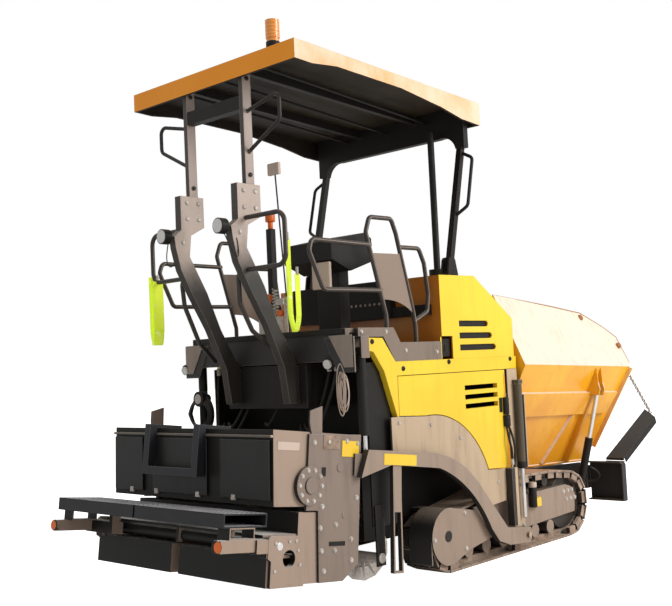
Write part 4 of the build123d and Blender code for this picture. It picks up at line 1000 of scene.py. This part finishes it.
def tread_plate(name):
    """Steel plate: bright and scuffed where it faces up, black on its sides."""
    material, shader, place, facing = finish(name, {"Metallic": 0.3})
    rounded, edge = softened(facing)
    broad, fine = place.noise(4, 5), place.noise(70, 4, 0.6)
    up = facing.axis("Z").between(0.5, 0.9)
    shade = (broad + fine * 0.4).between(0.4, 1.0).blend((0.46, 0.44, 0.46), (0.84, 0.82, 0.83))
    shade = up.blend((0.018, 0.018, 0.020), shade)
    feed(shader, "Base Color", (edge * up * 0.5).blend(shade, (0.5, 0.48, 0.46)))
    feed(shader, "Roughness", 0.4 + broad * 0.3)
    relief(shader, fine, 0.0006, rounded)
    return material


tread = tread_plate("tread_plate")
cover(("footboard_left", "footboard_right"), tread)
columns, column_pitch, rows, row_pitch, stagger = 17, 0.020, 24, 0.036, 0.018
for side, sign in sides:
    studs = [(-3.305 + column_pitch * column,
              sign * (0.035 + row_pitch * row + (stagger if column % 2 else 0)), 0.2035)
             for column in range(columns) for row in range(rows)]
    mesh = field(stud_tree, studs, None, tread)
    mesh.transform(lift)
    fit(f"footboard_studs_{side}", mesh, tread, f"screed_extension_{side}")


# ---------------------------------------- hoses behind the deck
# Hydraulic hoses and wiring hang in loose bends between the deck and the screed, with
# steel ends on the manifold under the deck.
loops = []
for y0, y1, sag in ((0.30, 0.55, 0.20), (0.22, 0.62, 0.28), (-0.55, -0.30, 0.22),
                    (-0.62, -0.25, 0.30), (-0.10, 0.12, 0.18), (0.68, 0.50, 0.34)):
    loops.append([spot(-1.46, y0, 1.60), spot(-1.50, y0 * 0.97, 1.42),
                  spot(-1.56, (y0 + y1) / 2, 1.36 - sag), spot(-1.50, y1, 1.30 - sag * 0.4),
                  spot(-1.47, y1, 1.20)])
fit("deck_hoses", hose(loops, radius=0.012), black_enamel)
fit("hose_ends", drums([(*beside(row[0], (0, 0, -0.01), (0, 0, 0.05)), 0.018) for row in loops]),
    bright_steel)
at = spot(-1.60, 0.79, 1.39)
horn = beside(at, (0, 0, 0.02), (0.06, 0, 0.02), (0.11, 0, 0.02))
fit("warning_horn", drums([(*horn[:2], 0.062), (*horn[1:], 0.036)]), black_enamel)
fit("horn_face", drums([(*beside(at, (-0.005, 0, 0.02), (0.001, 0, 0.02)), 0.040)]),
    bright_steel)


def turn(start=0.0):
    """The angles of one turn of a coil, from that angle on."""
    return [math.tau * part / 9 + start for part in range(10)]


# cable rolled up in uneven turns beside the horn, and a hank of grey cable on the other side
coil = [beside(at, *((0.01 + 0.006 * step, (0.12 + 0.014 * (step % 3)) * math.cos(angle),
                      -0.10 + (0.10 + 0.012 * step) * math.sin(angle)) for angle in turn()))
        for step in range(6)]
fit("horn_cable", hose(coil, radius=0.008), black_enamel)
hank = []
for step in range(7):
    width, height = 0.018 + 0.013 * (step % 4), 0.09 + 0.026 * (step * 2 % 5)
    strand = step % 3
    hank.append([spot(-1.612 + 0.005 * step, -0.80 - width * math.cos(angle) + 0.006 * strand,
                      1.44 + 0.01 * strand + height * math.sin(angle)) for angle in turn(0.3 * step)])
fit("grey_hank", hose(hank, radius=0.0042), beige)

# the seat's slide behind the right arm: rusty plates, rollers and a coiled spring
coil_radius, coil_step, coil_rise = 0.022, 0.9, 0.0035
spring = [spot(-1.57 + coil_radius * math.cos(coil_step * step),
               -0.13 + coil_radius * math.sin(coil_step * step), 2.02 + coil_rise * step)
          for step in range(60)]
fit("slide_spring", hose([spring], radius=0.005), bright_steel)
fit("slide_plates", blocks([(spot(-1.575, -0.20, deck_top), spot(-1.565, -0.06, 2.02)),
                            (spot(-1.585, -0.02, deck_top), spot(-1.573, 0.05, 2.22)),
                            (spot(-1.60, -0.24, 2.10), spot(-1.57, -0.16, 2.15)),
                            (spot(-1.58, -0.26, deck_top), spot(-1.56, -0.225, 2.16))]),
    bright_steel)
fit("slide_rollers", drums([(spot(-1.60, -0.045, 2.16), spot(-1.55, -0.045, 2.16), 0.035),
                            (spot(-1.60, -0.19, 2.04), spot(-1.56, -0.19, 2.04), 0.024)]), red_knob)


# ---------------------------------------- floor, light and camera
# A plain pale floor and soft lamps, as in a studio. The camera stands behind the machine
# and to its right, a little lower than the deck, and is rolled slightly.
reach = 60                              # half the floor's side, metres
floor_mesh = bpy.data.meshes.new("floor")
floor_mesh.from_pydata([(-reach, -reach, 0), (reach, -reach, 0), (reach, reach, 0), (-reach, reach, 0)],
                       [], [(0, 1, 2, 3)])
floor = bpy.data.objects.new("floor", floor_mesh)
bpy.context.scene.collection.objects.link(floor)
floor_paint = bpy.data.materials.new("floor_paint")
floor_paint.use_nodes = True
tree = floor_paint.node_tree
ground = tree.nodes["Principled BSDF"]
ground.inputs["Base Color"].default_value = (0.86, 0.86, 0.86, 1)
ground.inputs["Roughness"].default_value = 0.9
ground.inputs["Emission Color"].default_value = (1, 1, 1, 1)
seen = Wire(tree.nodes.new("ShaderNodeLightPath").outputs["Is Camera Ray"])
feed(ground, "Emission Strength", seen * 1.0)
floor_mesh.materials.append(floor_paint)

world = bpy.data.worlds.new("studio")
bpy.context.scene.world = world
world.use_nodes = True
sky = world.node_tree.nodes["Background"]
path = world.node_tree.nodes.new("ShaderNodeLightPath")
direct, glossy = (Wire(path.outputs[name]) for name in ("Is Camera Ray", "Is Glossy Ray"))
feed(sky, "Strength", direct.maths("MAXIMUM", glossy * 0.5) * 0.55 + 0.45)
sky.inputs["Color"].default_value = (1, 1, 1, 1)


def lamp(name, place, target, size, power):
    """A square soft lamp of that size in metres and power in watts."""
    light = bpy.data.lights.new(name, "AREA")
    light.shape, light.size, light.size_y, light.energy = "RECTANGLE", size, size, power
    thing = bpy.data.objects.new(name, light)
    bpy.context.scene.collection.objects.link(thing)
    thing.location = place
    thing.rotation_euler = (Vector(target) - Vector(place)).to_track_quat("-Z", "Y").to_euler()


lamp("key", place=(3.0, -10.0, 6.0), target=(0, 0, 1.5), size=5.0, power=900)
lamp("top", place=(-1.0, 1.0, 10.5), target=(0, 0, 2.0), size=8.0, power=350)

camera_data = bpy.data.cameras.new("camera")
camera_data.sensor_width, camera_data.lens, camera_data.clip_end = 36.0, 53.23, 200
camera = bpy.data.objects.new("camera", camera_data)
bpy.context.scene.collection.objects.link(camera)
bpy.context.scene.camera = camera
stand = (-6.8994, -5.5185, 1.6386)
yaw, pitch, roll = 0.827966, 0.0617103, -0.0466608
level = Vector((math.cos(yaw), -math.sin(yaw), 0))
look = Vector((math.sin(yaw) * math.cos(pitch), math.cos(yaw) * math.cos(pitch), math.sin(pitch)))
upright = level.cross(look)
across = math.cos(roll) * level + math.sin(roll) * upright
above = -math.sin(roll) * level + math.cos(roll) * upright
turned = Matrix((across, above, -look)).transposed()
camera.matrix_world = Matrix.Translation(stand) @ turned.to_4x4()
bpy.context.scene.view_settings.view_transform = "Standard"
